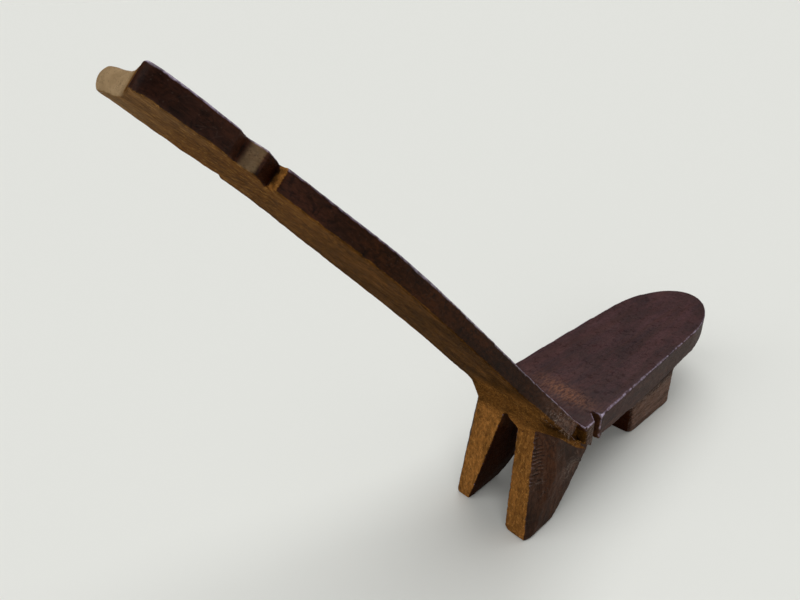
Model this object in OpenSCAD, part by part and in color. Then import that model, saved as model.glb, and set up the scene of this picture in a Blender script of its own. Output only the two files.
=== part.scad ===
// Three-legged reclining chair, carved from one log and divided here into its carved members.
// Sizes are millimetres. X is the width and Z is up, with the feet on Z = 0.
// The nose of the seat points to -Y and the long back leans towards +Y.
// The sitter's right hand is on the -X side.

/* [Seat] */
// Height of the seat top at the foot of the back
seat_h = 176; // [165:1:190]
// Fall of the seat top from the back to the nose
seat_drop = 12; // [4:1:18]
// Length of the seat from the foot of the back to the tip of the nose
seat_l = 606; // [580:1:640]
// Width of the seat at the back
seat_rear_w = 198; // [190:1:206]
// Width of the seat where the round nose starts
seat_front_w = 176; // [166:1:186]
// Length of the round nose
nose_l = 190; // [160:1:210]
// Thickness of the seat where it leaves the hip
seat_rear_t = 45; // [40:1:50]
// Thickness of the seat over the front leg
seat_mid_t = 53; // [48:1:58]
// Thickness of the seat at the tip of the nose
nose_t = 22; // [16:1:30]

/* [Back] */
// Length of the back along its front face
back_l = 824; // [790:1:850]
// Slope of the back at its foot, in degrees above level
back_foot_slope = 48.3; // [47:0.1:50]
// Slope of the back at its top, in degrees above level
back_top_slope = 42; // [40:0.1:44]
// Thickness of the back at its foot
back_foot_t = 27; // [24:1:30]
// Thickness of the back at its top
back_top_t = 20; // [18:1:24]
// Width of the back above the flare at its foot
back_foot_w = 164; // [158:1:170]
// Width of the back at its waist
waist_w = 139; // [132:1:142]
// Distance of the waist from the foot of the back
waist_s = 250; // [220:1:290]
// Width of the back at its swell
swell_w = 147; // [142:1:154]
// Distance of the swell from the foot of the back
swell_s = 530; // [490:1:570]
// Width of the back at the upper end of the plain blade
blade_top_w = 115; // [112:1:120]

/* [Crest and neck] */
// Length of the crest, measured on its long side
crest_l = 74; // [68:1:80]
// Width of the crest where it springs from the neck
crest_w = 116; // [112:1:120]
// Length of the crest's lower part, before its edges start to draw in
crest_shoulder_l = 15; // [10:1:20]
// Width of the crest at its end
crest_end_w = 112; // [106:1:116]
// Width of the bevel behind the crest's left edge, at the crest's end
crest_bevel = 12; // [6:1:16]
// Amount by which the left end of the crest is shorter than the right end
crest_skew = 15; // [10:1:22]
// Radius of the crest's long right corner
crest_right_r = 8; // [4:1:12]
// Radius of the crest's short left corner
crest_left_r = 14; // [10:1:18]
// Length of the notched neck between blade and crest
neck_l = 52; // [48:1:58]
// Depth of the sharp notch beside the blade
notch_depth = 16; // [12:1:20]
// Length of the sharp notch, from the blade to the bead
notch_l = 24; // [20:1:28]
// Width across the two beads of the neck
bead_w = 117; // [112:1:120]
// Distance from the bead to the bottom of the shallow scoop beside the crest
scoop_l = 16; // [12:1:20]
// Depth of that scoop
scoop_depth = 9; // [5:1:12]

/* [Hip] */
// Length of the back's foot that belongs to the hip block
hip_l = 118; // [116:1:126]
// Distance from the foot of the back to the bend above the rear legs
bend_l = 113; // [108:1:114]
// Distance from the foot of the back to the joint face of the seat
hip_front = 50; // [46:1:56]
// Distance of the hip's lowest edge behind that joint face
hip_heel = 9; // [6:1:12]
// Distance of the hip's right rear corner from the centre plane
right_corner_x = 66; // [60:1:70]
// Distance of the hip's left rear corner from the centre plane
left_corner_x = 45; // [40:1:50]
// Depth of the bevelled corner behind the right side of the hip
right_bevel = 38; // [30:1:44]
// Depth of the bevelled corner behind the left side of the hip
left_bevel = 56; // [48:1:60]
// Height of the hip's underside at the rear, where the legs part
crotch_h = 210; // [202:1:216]
// Height of the hip's underside at the front of the legs
hip_low_h = 115; // [110:1:122]
// Width of the two notches that set the seat off from the hip
tooth_notch_w = 24; // [18:1:28]
// Depth of those notches
tooth_notch_depth = 26; // [18:1:32]
// Length of the flare where the foot of the back widens to the seat
flare_l = 22; // [18:1:26]
// Thickness of the flare in front of the recess that undercuts it
flare_t = 5; // [3:1:8]
// Distance by which the hip's sides stand in from the edges of the back
hip_inset = 2; // [1:0.5:4]
// Distance of the floor of each recess from the centre plane
recess_x = 72; // [68:1:73]
// Reach of each recess in front of the foot of the back
recess_front = 8; // [5:1:11]
// Reach of each recess behind the foot of the back
recess_rear = 40; // [38:1:44]
// Height of the lip below each recess
lip_h = 141; // [136:1:148]

/* [Rear legs] */
// Width of the right rear foot
right_foot_w = 38; // [34:1:42]
// Width of the left rear foot
left_foot_w = 34; // [30:1:38]
// Gap between the two rear feet
foot_gap = 88; // [82:1:94]
// Gap between the legs at its top, under the hip
slot_top_w = 38; // [30:1:46]
// Distance of the middle of that gap from the centre plane, towards the right leg
slot_shift = 15; // [8:1:20]
// Depth of a rear foot from front to rear
foot_d = 80; // [70:1:90]
// Distance of the right rear foot's back face behind the foot of the back
foot_rear_y = 120; // [114:1:126]
// Distance by which the left rear foot stands further forward than the right one
left_foot_set = 6; // [0:1:10]
// Height of the bevel under the front of each rear foot
toe_h = 38; // [30:1:46]
// Depth of that bevel
toe_d = 32; // [24:1:38]
// Width of the bevelled rear corner of each rear foot
heel_bevel = 5; // [3:1:8]
// Amount by which each rear leg stands out past the foot of the back
leg_bulge = 9; // [6:1:12]

/* [Front leg] */
// Width of the front leg at the floor
front_leg_w = 142; // [130:1:150]
// Width of the front leg under the seat
front_leg_top_w = 152; // [146:1:158]
// Depth of the front leg at the floor
front_leg_d = 172; // [150:1:185]
// Distance from the foot of the back to the front leg's rear face at the floor
front_leg_y = 248; // [238:1:260]
// Amount by which the front leg reaches further back under the seat
front_leg_flare = 34; // [20:1:44]
// Radius of the front leg's upright corners
front_leg_r = 16; // [10:1:22]

/* [Hidden] */

wood_dark = [0.24, 0.17, 0.15];
wood_brown = [0.33, 0.23, 0.15];
wood_gold = [0.47, 0.34, 0.19];

// Number of straight pieces that make up the curve of the back
back_steps = 16;
// Number of straight pieces in the round of the nose and of other curves
curve_steps = 18;
// How the bend of the back gathers towards its top: 1 is an even bend
back_ease = 2.2;
// A length longer than any member, for solids that only trim
far = 1000;
// Straight stretch beyond the ends of the back, so that the outlines make the ends
over = 20;
// Number of straight pieces in a small round corner
corner_steps = 6;
// Thickness of the two slabs that the front leg is drawn between
slab = 1;

back_step = back_l / back_steps;

// Slope of the back at step i, from the foot to the top
function slope(i) = back_foot_slope
    - (back_foot_slope - back_top_slope) * pow(min(max(i / back_steps, 0), 1), back_ease);

// Thickness of the back at step i
function thick(i) = back_foot_t + (back_top_t - back_foot_t) * i / back_steps;

// Point of the front face of the back at step i, as [y, z]
function front_point(i) = i <= 0
    ? [0, seat_h]
    : front_point(i - 1) + back_step * [cos(slope(i - 0.5)), sin(slope(i - 0.5))];

// Direction from the front face of the back to its rear face at step i, as [y, z]
function inward(i) = [sin(slope(i)), -cos(slope(i))];

// Point of the rear face of the back at step i, as [y, z]
function rear_point(i) = front_point(i) + thick(i) * inward(i);

// Point half way between both faces of the back at step i, as [y, z]
function mid_point(i) = (front_point(i) + rear_point(i)) / 2;

back_top = front_point(back_steps);
chord_slope = atan2(back_top[1] - seat_h, back_top[0]);
chord_l = norm(back_top - [0, seat_h]);

// Lengths along the back where its members meet
crest_s = chord_l - crest_l;
neck_s = crest_s - neck_l;

// Middle of the whole chair's length, which the origin lies under
y_rearmost = back_top[0] + back_top_t * sin(chord_slope);
y_middle = (y_rearmost - seat_l) / 2;

// Goes smoothly from one value to another as t goes from 0 to 1
function ease(from, to, t) = from + (to - from) * (1 - cos(180 * t)) / 2;

// Width of the plain blade at length s along the back
function blade_w(s) =
    s < waist_s ? ease(back_foot_w, waist_w, s / waist_s)
    : s < swell_s ? ease(waist_w, swell_w, (s - waist_s) / (swell_s - waist_s))
    : ease(swell_w, blade_top_w, (s - swell_s) / (neck_s - swell_s));

// Height of the seat top at distance y in front of the back
function seat_top(y) = seat_h - seat_drop * y / seat_l;

nose_y = seat_l - nose_l;
mid_under_z = seat_top(front_leg_y) - seat_mid_t;
belly_y = front_leg_y - front_leg_flare;
front_leg_front_y = front_leg_y + front_leg_d;

// Bend where the rear of the back turns down into the rear of the legs, as [y, z]
bend_share = bend_l / back_step - 2;
bend_point = rear_point(2) + (rear_point(3) - rear_point(2)) * bend_share;

// Distance behind the foot of the back of the legs' rear face at height z
function leg_rear_y(z) = foot_rear_y + (bend_point[0] - foot_rear_y) * z / bend_point[1];

// Point inside the back, in line with the rear face below the bend, as [y, z]
bend_root = bend_point * 1.25 - [leg_rear_y(crotch_h), crotch_h] * 0.25;

// Distance in front of the foot of the back where the hip's underside starts to rise
hip_low_y = hip_front - hip_heel;

// Half width of the seat at distance y in front of the back, up to the nose
function seat_half(y) = seat_rear_w / 2 - (seat_rear_w - seat_front_w) / 2 * y / nose_y;

// Mirrors a list of [x, y] points to the other side and joins both into one outline
function both_sides(points) = concat(
    points,
    [for (i = [len(points) - 1:-1:0]) [-points[i][0], points[i][1]]]
);

// Places a solid that is drawn with the foot of the back on Y = 0
module place() {
    translate([0, -y_middle, 0]) children();
}

// Turns a side view, drawn as [y, z], into a solid of the given width
module across(width) {
    rotate([90, 0, 90]) linear_extrude(height = width, center = true) children();
}

// Curved plank of the back, wider than any of its members
module back_plank() {
    steps = [0:1:back_steps];
    beyond = over * [cos(back_top_slope), sin(back_top_slope)];
    across(seat_rear_w * 2) polygon(concat(
        [for (i = steps) front_point(i)],
        [front_point(back_steps) + beyond, rear_point(back_steps) + beyond],
        [for (i = [back_steps:-1:0]) rear_point(i)]
    ));
}

// Block with an outline drawn as [x, length along the back], square to the chord of the back
module chord_block(outline) {
    translate([0, 0, seat_h])
        rotate([chord_slope, 0, 0])
            linear_extrude(height = far, center = true) polygon(outline);
}

// Part of the back inside such an outline
module back_member(outline) {
    intersection() {
        back_plank();
        chord_block(outline);
    }
}

// Outline of a round corner, from one angle to another
function corner(centre, radius, from, to) = [
    for (k = [0:corner_steps])
        let (turn = from + (to - from) * k / corner_steps)
        centre + radius * [cos(turn), sin(turn)]
];

// Crest: a long right corner, and a lower left end that is bevelled behind
module backrest_crest() {
    half = crest_w / 2;
    end_half = crest_end_w / 2;
    short_s = chord_l - crest_skew;
    color(wood_dark) place() difference() {
        back_member(concat(
            [[-half, crest_s], [-half, crest_s + crest_shoulder_l]],
            corner([crest_right_r - end_half, chord_l - crest_right_r], crest_right_r, 180, 90),
            [[0, short_s]],
            corner([end_half - crest_left_r, short_s - crest_left_r], crest_left_r, 90, 0),
            [[half, crest_s]]
        ));
        crest_bevel_cut(end_half);
    }
}

// Wedge that bevels the rear of the crest's left edge and runs out towards the neck
module crest_bevel_cut(edge_x) {
    top = rear_point(back_steps);
    translate([edge_x, top[0], top[1]])
        rotate([slope(back_steps) - 90, 0, 0])
            rotate([0, -atan2(crest_bevel, crest_l), 0])
                linear_extrude(height = crest_l * 3, center = true) polygon([
                    [0, -back_top_t],
                    [-crest_bevel * 2, back_top_t],
                    [far, back_top_t],
                    [far, -back_top_t]
                ]);
}

// Neck: a sharp notch, a bead and a shallow scoop in each side edge
module backrest_neck() {
    notch_x = blade_top_w / 2 - notch_depth;
    scoop_x = bead_w / 2 - scoop_depth;
    bead_s = neck_s + notch_l;
    color(wood_brown) place() back_member(both_sides([
        [notch_x, neck_s],
        [bead_w / 2, bead_s],
        [scoop_x, bead_s + scoop_l],
        [crest_w / 2, crest_s]
    ]));
}

// Blade: the long plain part of the back
module backrest_blade() {
    blade_l = neck_s - hip_l;
    color(wood_dark) place() back_member(both_sides(
        [for (k = [0:curve_steps]) let (s = hip_l + blade_l * k / curve_steps) [blade_w(s) / 2, s]]
    ));
}

// Foot of the back, which flares out to the width of the seat
module back_foot() {
    back_member(both_sides(concat(
        [[seat_half(0), -over], [seat_half(0), hip_inset]],
        [for (s = [flare_l, (flare_l + hip_l) / 2, hip_l]) [blade_w(s) / 2, s]]
    )));
}

// Side view of the body of the hip, from the joint face of the seat to the bend above the legs
module hip_side() {
    polygon([
        [-hip_front, seat_top(hip_front)],
        [0, seat_h],
        mid_point(1),
        bend_root,
        [leg_rear_y(crotch_h), crotch_h],
        [-hip_low_y, hip_low_h],
        [-hip_front, seat_top(hip_front) - seat_rear_t]
    ]);
}

// One side of the hip's outline seen from above
function hip_edge(corner_x, bevel) = [
    [seat_half(hip_front), -hip_front],
    [seat_half(hip_inset), -hip_inset],
    [blade_w(flare_l) / 2 - hip_inset, flare_l * cos(back_foot_slope)],
    [blade_w(hip_l) / 2 - hip_inset, leg_rear_y(crotch_h) - bevel],
    [corner_x, leg_rear_y(crotch_h)],
    [corner_x, foot_rear_y]
];

// Hip block: joins the back, the seat and both rear legs
module hip_block() {
    left_edge = hip_edge(left_corner_x, left_bevel);
    right_edge = hip_edge(right_corner_x, right_bevel);
    color(wood_brown) place() difference() {
        union() {
            back_foot();
            intersection() {
                across(far) hip_side();
                linear_extrude(height = far) polygon(concat(
                    left_edge,
                    [for (i = [len(right_edge) - 1:-1:0]) [-right_edge[i][0], right_edge[i][1]]]
                ));
            }
        }
        for (side = [-1, 1]) {
            tooth_notch(side);
            recess(side);
        }
    }
}

// Upright V notch between the hip's tooth and the seat
module tooth_notch(side) {
    apex = [seat_half(hip_front) - tooth_notch_depth, -hip_front];
    flank = [tooth_notch_depth, tooth_notch_w];
    linear_extrude(height = far) scale([side, 1]) polygon([
        apex,
        apex + [far, 0],
        apex + [far, tooth_notch_w * 2],
        apex + flank * 2
    ]);
}

// Shallow recess under the flare at the foot of the back, with a lip left below it
module recess(side) {
    cut_l = flare_l - hip_inset;
    flare_top = front_point(0) + cut_l * [cos(back_foot_slope), sin(back_foot_slope)];
    translate([side * (recess_x + far / 2), 0, 0]) across(far) polygon([
        [-recess_front, lip_h],
        [-recess_front / 2, seat_h - flare_t],
        flare_top + flare_t * inward(0),
        [recess_rear, seat_h]
    ]);
}

// Seat: a thick tongue with a round nose and an underside that rises towards the nose
module seat() {
    rise = seat_top(seat_l) - nose_t - mid_under_z;
    under_l = seat_l - front_leg_front_y;
    color(wood_dark) place() intersection() {
        across(far) polygon(concat(
            [[-hip_front, seat_top(hip_front)]],
            [[-hip_front, seat_top(hip_front) - seat_rear_t]],
            [[-belly_y, mid_under_z]],
            [for (k = [0:curve_steps])
                [-front_leg_front_y - under_l * k / curve_steps,
                 mid_under_z + rise * (1 - cos(90 * k / curve_steps))]],
            [[-seat_l, seat_top(seat_l)]]
        ));
        linear_extrude(height = far) polygon(concat(
            [[-seat_half(hip_front), -hip_front], [seat_half(hip_front), -hip_front]],
            [for (k = [0:curve_steps])
                let (turn = 180 * k / curve_steps)
                [seat_front_w / 2 * cos(turn), -nose_y - nose_l * sin(turn)]]
        ));
    }
}

// Rear leg on the +X side: a side view crossed with a front view, less its bevelled rear corner
module rear_leg(foot_w, foot_set, slot_x, corner_x, bevel) {
    inner = foot_gap / 2;
    outer = inner + foot_w;
    top_x = back_foot_w / 2;
    heel_y = foot_rear_y - foot_set;
    toe_y = heel_y - foot_d;
    top_y = leg_rear_y(crotch_h);
    place() difference() {
        intersection() {
            across(far) polygon([
                [heel_y, 0],
                [toe_y, 0],
                [toe_y - toe_d, toe_h],
                [-hip_low_y, hip_low_h],
                [top_y, crotch_h]
            ]);
            rotate([90, 0, 0]) linear_extrude(height = far, center = true) polygon([
                [inner, 0],
                [outer, 0],
                [outer, toe_h],
                [top_x + leg_bulge, hip_low_h],
                [top_x, crotch_h],
                [slot_x, crotch_h]
            ]);
        }
        corner_bevel([outer - heel_bevel, heel_y], [corner_x, top_y], [top_x - corner_x, -bevel]);
    }
}

// Half space outside a leaning rear edge, whose foot and top are given as [x, y], and whose
// horizontal lines run along the given direction
module corner_bevel(foot, top, direction) {
    turn = atan2(direction[1], direction[0]);
    lean = (foot - top) * [-sin(turn), cos(turn)];
    translate([top[0], top[1], crotch_h])
        rotate([0, 0, turn])
            rotate([atan2(lean, crotch_h), 0, 0])
                translate([-far / 2, 0, -far / 2]) cube(far);
}

// Right rear leg
module rear_leg_right() {
    color(wood_gold) mirror([1, 0, 0])
        rear_leg(right_foot_w, 0, slot_top_w / 2 + slot_shift, right_corner_x, right_bevel);
}

// Left rear leg, which leans further in than the right one
module rear_leg_left() {
    color(wood_gold)
        rear_leg(left_foot_w, left_foot_set, slot_top_w / 2 - slot_shift, left_corner_x, left_bevel);
}

// One level of the front leg, a rounded rectangle at height z
module front_leg_level(z, width, rear_y) {
    depth = front_leg_front_y - rear_y;
    translate([0, -rear_y - depth / 2, z])
        linear_extrude(height = slab)
            for (x = [-1, 1], y = [-1, 1])
                translate([x * (width / 2 - front_leg_r), y * (depth / 2 - front_leg_r)])
                    circle(r = front_leg_r, $fn = 4 * corner_steps);
}

// Front leg: one broad block that widens towards the seat
module front_leg() {
    color(wood_brown) place() hull() {
        front_leg_level(0, front_leg_w, front_leg_y);
        front_leg_level(mid_under_z - slab, front_leg_top_w, belly_y);
    }
}

backrest_crest();
backrest_neck();
backrest_blade();
hip_block();
seat();
rear_leg_right();
rear_leg_left();
front_leg();
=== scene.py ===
"""Three-legged reclining chair, carved from one log: shapes, finishes, studio and camera.

Sizes are millimetres in the carver's frame, where Y = 0 is the foot of the back, +Y is where the
back leans, Z = 0 is the floor and X = 0 is the middle plane. Meshes are built in metres.
"""
import logging
import math
from collections.abc import Iterable, Sequence
from dataclasses import dataclass, field
from enum import Enum

import bmesh
import bpy
import numpy as np
from mathutils import Matrix, Vector, noise


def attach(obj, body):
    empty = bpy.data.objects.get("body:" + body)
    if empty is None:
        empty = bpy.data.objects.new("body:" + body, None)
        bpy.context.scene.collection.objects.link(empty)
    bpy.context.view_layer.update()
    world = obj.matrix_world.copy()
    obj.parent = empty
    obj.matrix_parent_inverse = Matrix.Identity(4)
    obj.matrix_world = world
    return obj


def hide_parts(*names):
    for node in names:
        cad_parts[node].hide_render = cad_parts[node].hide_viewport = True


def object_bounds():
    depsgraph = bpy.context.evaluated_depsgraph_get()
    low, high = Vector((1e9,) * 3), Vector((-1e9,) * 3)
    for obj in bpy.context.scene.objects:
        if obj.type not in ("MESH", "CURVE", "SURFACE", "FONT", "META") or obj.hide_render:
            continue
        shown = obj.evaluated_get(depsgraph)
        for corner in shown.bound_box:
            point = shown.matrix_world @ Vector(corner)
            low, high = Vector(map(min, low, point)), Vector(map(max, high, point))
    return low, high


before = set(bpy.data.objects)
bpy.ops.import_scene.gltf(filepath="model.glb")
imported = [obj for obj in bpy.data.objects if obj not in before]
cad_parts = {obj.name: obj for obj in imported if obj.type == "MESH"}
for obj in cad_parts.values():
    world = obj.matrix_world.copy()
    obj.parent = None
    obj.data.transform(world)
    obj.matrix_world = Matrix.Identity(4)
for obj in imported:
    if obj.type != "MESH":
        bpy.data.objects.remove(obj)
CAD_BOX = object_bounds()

LOG = logging.getLogger("chair")
MM = 0.001
FOOT_Y = 11.448
CUT_PITCH = 6.6
RELAX_VOXEL = 1.8
SENSOR_WIDTH = 36.0
MIX_FIRST, MIX_SECOND = 6, 7

Array = np.ndarray
Solid = bmesh.types.BMesh
Socket = bpy.types.NodeSocket
Colour = tuple[float, float, float, float]
Point2 = tuple[float, float]
Point3 = tuple[float, float, float]
Span = tuple[float, float, float, float]
Lamp = tuple[float, float, float, float]
Sockets = bpy.types.bpy_prop_collection

FOOT = np.array([0.0, FOOT_Y, 0.0])
LEGS_LOW = (-41.0, 115.0)
LEGS_REAR = (98.0, 210.0)
LEGS_RUN = 0.8256
LEGS_RISE = 0.5643
BEND_ALONG = 113.0
BEND_HEIGHT = 243.0
SEAT_JOINT_Y = -50.0
FRONT_LEG_JOINT_Z = 118.09


class Side(Enum):
    """Side of the chair, as the sign of X."""

    RIGHT = -1
    LEFT = 1


class Member(Enum):
    """Carved member of the chair, named as its CAD node, with its finish slot."""

    CREST = ("backrest_crest", "dark_wood")
    NECK = ("backrest_neck", "brown_wood")
    BLADE = ("backrest_blade", "dark_wood")
    HIP = ("hip_block", "brown_wood")
    SEAT = ("seat", "dark_wood")
    RIGHT_LEG = ("rear_leg_right", "golden_wood")
    LEFT_LEG = ("rear_leg_left", "golden_wood")
    FRONT_LEG = ("front_leg", "brown_wood")

    @property
    def node(self) -> str:
        """Name of the CAD node that this member replaces."""
        return self.value[0]

    @property
    def slot(self) -> str:
        """Name of the material slot in the record."""
        return self.value[1]


class Zone(Enum):
    """What the maker and years of use left on the wood, and where shade and highlights are painted on it,
    kept as a grade at each point.
    """

    RAW = "raw"
    GOLD = "gold"
    PALE = "pale"
    # Painted shade: near black where shade falls in the slot, behind the front leg and in the notches.
    SOOT = "soot"
    ASH = "ash"
    SEAT = "seat_top"
    STAIN = "stain"
    GRIME = "grime"
    # Rubbed edges, with a painted highlight where they face up.
    RUBBED = "rubbed"
    DEEP = "deep"


def ease(start: float, end: float, share: float) -> float:
    """Goes smoothly from one value to another.

    Args:
        start: Value at share 0.
        end: Value at share 1.
        share: How far along, from 0 to 1.

    Returns:
        The value between them.
    """
    return start + (end - start) * (1.0 - math.cos(math.pi * share)) / 2.0


def step_up(values: Array, low: float, high: float) -> Array:
    """Rises smoothly from 0 to 1 between two levels, or falls if low is above high.

    Args:
        values: Numbers to grade.
        low: Level where the result is 0.
        high: Level where the result is 1.

    Returns:
        Grades from 0 to 1.
    """
    share = np.clip((values - low) / (high - low), 0.0, 1.0)
    return share * share * (3.0 - 2.0 * share)


def srgb(red: int, green: int, blue: int) -> Colour:
    """Turns a display colour into the linear colour that shaders use.

    Args:
        red: Red from 0 to 255.
        green: Green from 0 to 255.
        blue: Blue from 0 to 255.

    Returns:
        Linear red, green, blue and an alpha of 1.
    """
    parts = [c / 255.0 for c in (red, green, blue)]
    linear = [c / 12.92 if c <= 0.04045 else ((c + 0.055) / 1.055) ** 2.4 for c in parts]
    return linear[0], linear[1], linear[2], 1.0


@dataclass(frozen=True)
class BackCurve:
    """Side view of the back, a plank that bends a little more towards its top."""

    length: float = 824.0
    foot_height: float = 176.0
    foot_slope: float = 48.3
    top_slope: float = 42.0
    gather: float = 2.2
    foot_thickness: float = 27.0
    top_thickness: float = 20.0
    steps: int = 206

    def slope(self, s: float) -> float:
        """Slope of the plank at a length from its foot, in radians."""
        share = min(max(s / self.length, 0.0), 1.0)
        return math.radians(self.foot_slope - (self.foot_slope - self.top_slope) * share ** self.gather)

    def front(self) -> Array:
        """Points of the front face from the foot to the top.

        Returns:
            One row of [s, y, z] for each step.
        """
        step = self.length / self.steps
        rows = [(0.0, 0.0, self.foot_height)]
        for _ in range(self.steps):
            s, y, z = rows[-1]
            angle = self.slope(s + step / 2.0)
            rows.append((s + step, y + step * math.cos(angle), z + step * math.sin(angle)))
        return np.array(rows)

    def thickness(self, s: float) -> float:
        """Thickness of the plank at a length from its foot."""
        return self.foot_thickness + (self.top_thickness - self.foot_thickness) * s / self.length

    def chord(self) -> tuple[float, float]:
        """Slope in radians and length of the straight line from foot to top."""
        top = self.front()[-1]
        rise = top[2] - self.foot_height
        return math.atan2(rise, top[1]), math.hypot(top[1], rise)

    def place(self, rows: Array, x: float, s: float, depth: float) -> Vector:
        """Puts a point of the plank in space.

        Args:
            rows: The rows that front() returns.
            x: Distance from the middle plane.
            s: Length from the foot.
            depth: 0 on the front face and 1 on the rear face.

        Returns:
            The point, in millimetres.
        """
        y = float(np.interp(s, rows[:, 0], rows[:, 1]))
        z = float(np.interp(s, rows[:, 0], rows[:, 2]))
        extra = min(s, 0.0) + max(s - self.length, 0.0)
        angle = self.slope(s)
        inward = depth * self.thickness(s)
        return Vector((x, y + extra * math.cos(angle) + inward * math.sin(angle),
                       z + extra * math.sin(angle) - inward * math.cos(angle)))

    def rear(self, s: float) -> Point2:
        """Point of the rear face at a length from the foot, as (y, z)."""
        spot = self.place(self.front(), 0.0, s, 1.0)
        return spot.y, spot.z


CURVE = BackCurve()
CHORD_SLOPE, CHORD_LENGTH = CURVE.chord()


def between(values: Array, span: Span) -> Array:
    """Rises from 0 to 1 and falls back again.

    Args:
        values: Numbers to grade.
        span: Levels where the result leaves 0, reaches 1, leaves 1 and is back at 0.

    Returns:
        Grades from 0 to 1.
    """
    start, full, last, end = span
    return step_up(values, start, full) * step_up(values, end, last)


def only(items: Iterable[object], kind: type) -> list:
    """Picks the items of one kind."""
    return [item for item in items if isinstance(item, kind)]


def pull(bm: Solid, reach: Vector) -> None:
    """Extrudes all faces of a flat mesh, by the direction and length of reach."""
    pulled = bmesh.ops.extrude_face_region(bm, geom=list(bm.faces))
    bmesh.ops.translate(bm, vec=reach, verts=only(pulled["geom"], bmesh.types.BMVert))


def slab(columns: int, rows: int) -> Solid:
    """Makes a grid from -1 to 1 with a second layer 1 above it, closed along the edges."""
    bm = bmesh.new()
    bmesh.ops.create_grid(bm, x_segments=columns, y_segments=rows, size=1.0)
    pull(bm, Vector((0.0, 0.0, 1.0)))
    return bm


def outline_solid(points: Sequence[Point3], reach: Vector) -> Solid:
    """Draws a face through a few corners and extrudes it.

    Args:
        points: Corners of the face, in order.
        reach: Direction and length of the extrusion.

    Returns:
        A closed solid.
    """
    bm = bmesh.new()
    bm.faces.new([bm.verts.new(point) for point in points])
    pull(bm, reach)
    bmesh.ops.recalc_face_normals(bm, faces=bm.faces)
    return bm


def wedge(points: Sequence[Point3]) -> Solid:
    """Makes the smallest convex solid round a few corners."""
    bm = bmesh.new()
    for point in points:
        bm.verts.new(point)
    hull = bmesh.ops.convex_hull(bm, input=bm.verts)
    bmesh.ops.delete(bm, geom=only(hull["geom_interior"], bmesh.types.BMVert), context="VERTS")
    bmesh.ops.recalc_face_normals(bm, faces=bm.faces)
    return bm


def hew(bm: Solid, point: Vector, outward: Vector, merge: float = 1e-5) -> tuple[list, list]:
    """Cuts everything outside a plane off a solid and closes the cut.

    Args:
        bm: The solid.
        point: A point of the plane.
        outward: Direction in which the wood goes away.
        merge: Points closer to the plane than this are put on it.

    Returns:
        The edges round the cut and the faces that close it.
    """
    away = outward.normalized()
    cut = bmesh.ops.bisect_plane(bm, geom=[*bm.verts, *bm.edges, *bm.faces], dist=merge, plane_co=point,
                                 plane_no=away, clear_outer=True)
    rim = only(cut["geom_cut"], bmesh.types.BMEdge)
    if not rim:
        return [], []
    filled = bmesh.ops.triangle_fill(bm, use_beauty=True, edges=rim, normal=away)
    return rim, only(filled["geom"], bmesh.types.BMFace)


def to_object(bm: Solid, name: str) -> bpy.types.Object:
    """Makes an object of a bmesh and frees the bmesh."""
    mesh = bpy.data.meshes.new(name)
    bm.to_mesh(mesh)
    bm.free()
    obj = bpy.data.objects.new(name, mesh)
    bpy.context.scene.collection.objects.link(obj)
    return obj


def applied(obj: bpy.types.Object) -> bpy.types.Mesh:
    """Gives a new mesh of an object with all its modifiers in it."""
    graph = bpy.context.evaluated_depsgraph_get()
    return bpy.data.meshes.new_from_object(obj.evaluated_get(graph), depsgraph=graph)


def discard(objects: Iterable[bpy.types.Object]) -> None:
    """Removes helper objects and their meshes."""
    for obj in list(objects):
        mesh = obj.data
        bpy.data.objects.remove(obj)
        bpy.data.meshes.remove(mesh)


def carve(solid: Solid, cutters: Sequence[Solid]) -> Solid:
    """Takes the shape of each cutter out of a solid.

    Args:
        solid: The wood, which is freed.
        cutters: Closed shapes to take away; they are left as they are.

    Returns:
        The carved solid.
    """
    wood = to_object(solid, "wood")
    tools = [to_object(cutter.copy(), "cutter") for cutter in cutters]
    for tool in tools:
        cut = wood.modifiers.new("cut", "BOOLEAN")
        cut.operation = "DIFFERENCE"
        cut.solver = "EXACT"
        cut.object = tool
    mesh = applied(wood)
    carved = bmesh.new()
    carved.from_mesh(mesh)
    bpy.data.meshes.remove(mesh)
    discard([wood, *tools])
    return carved


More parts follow.
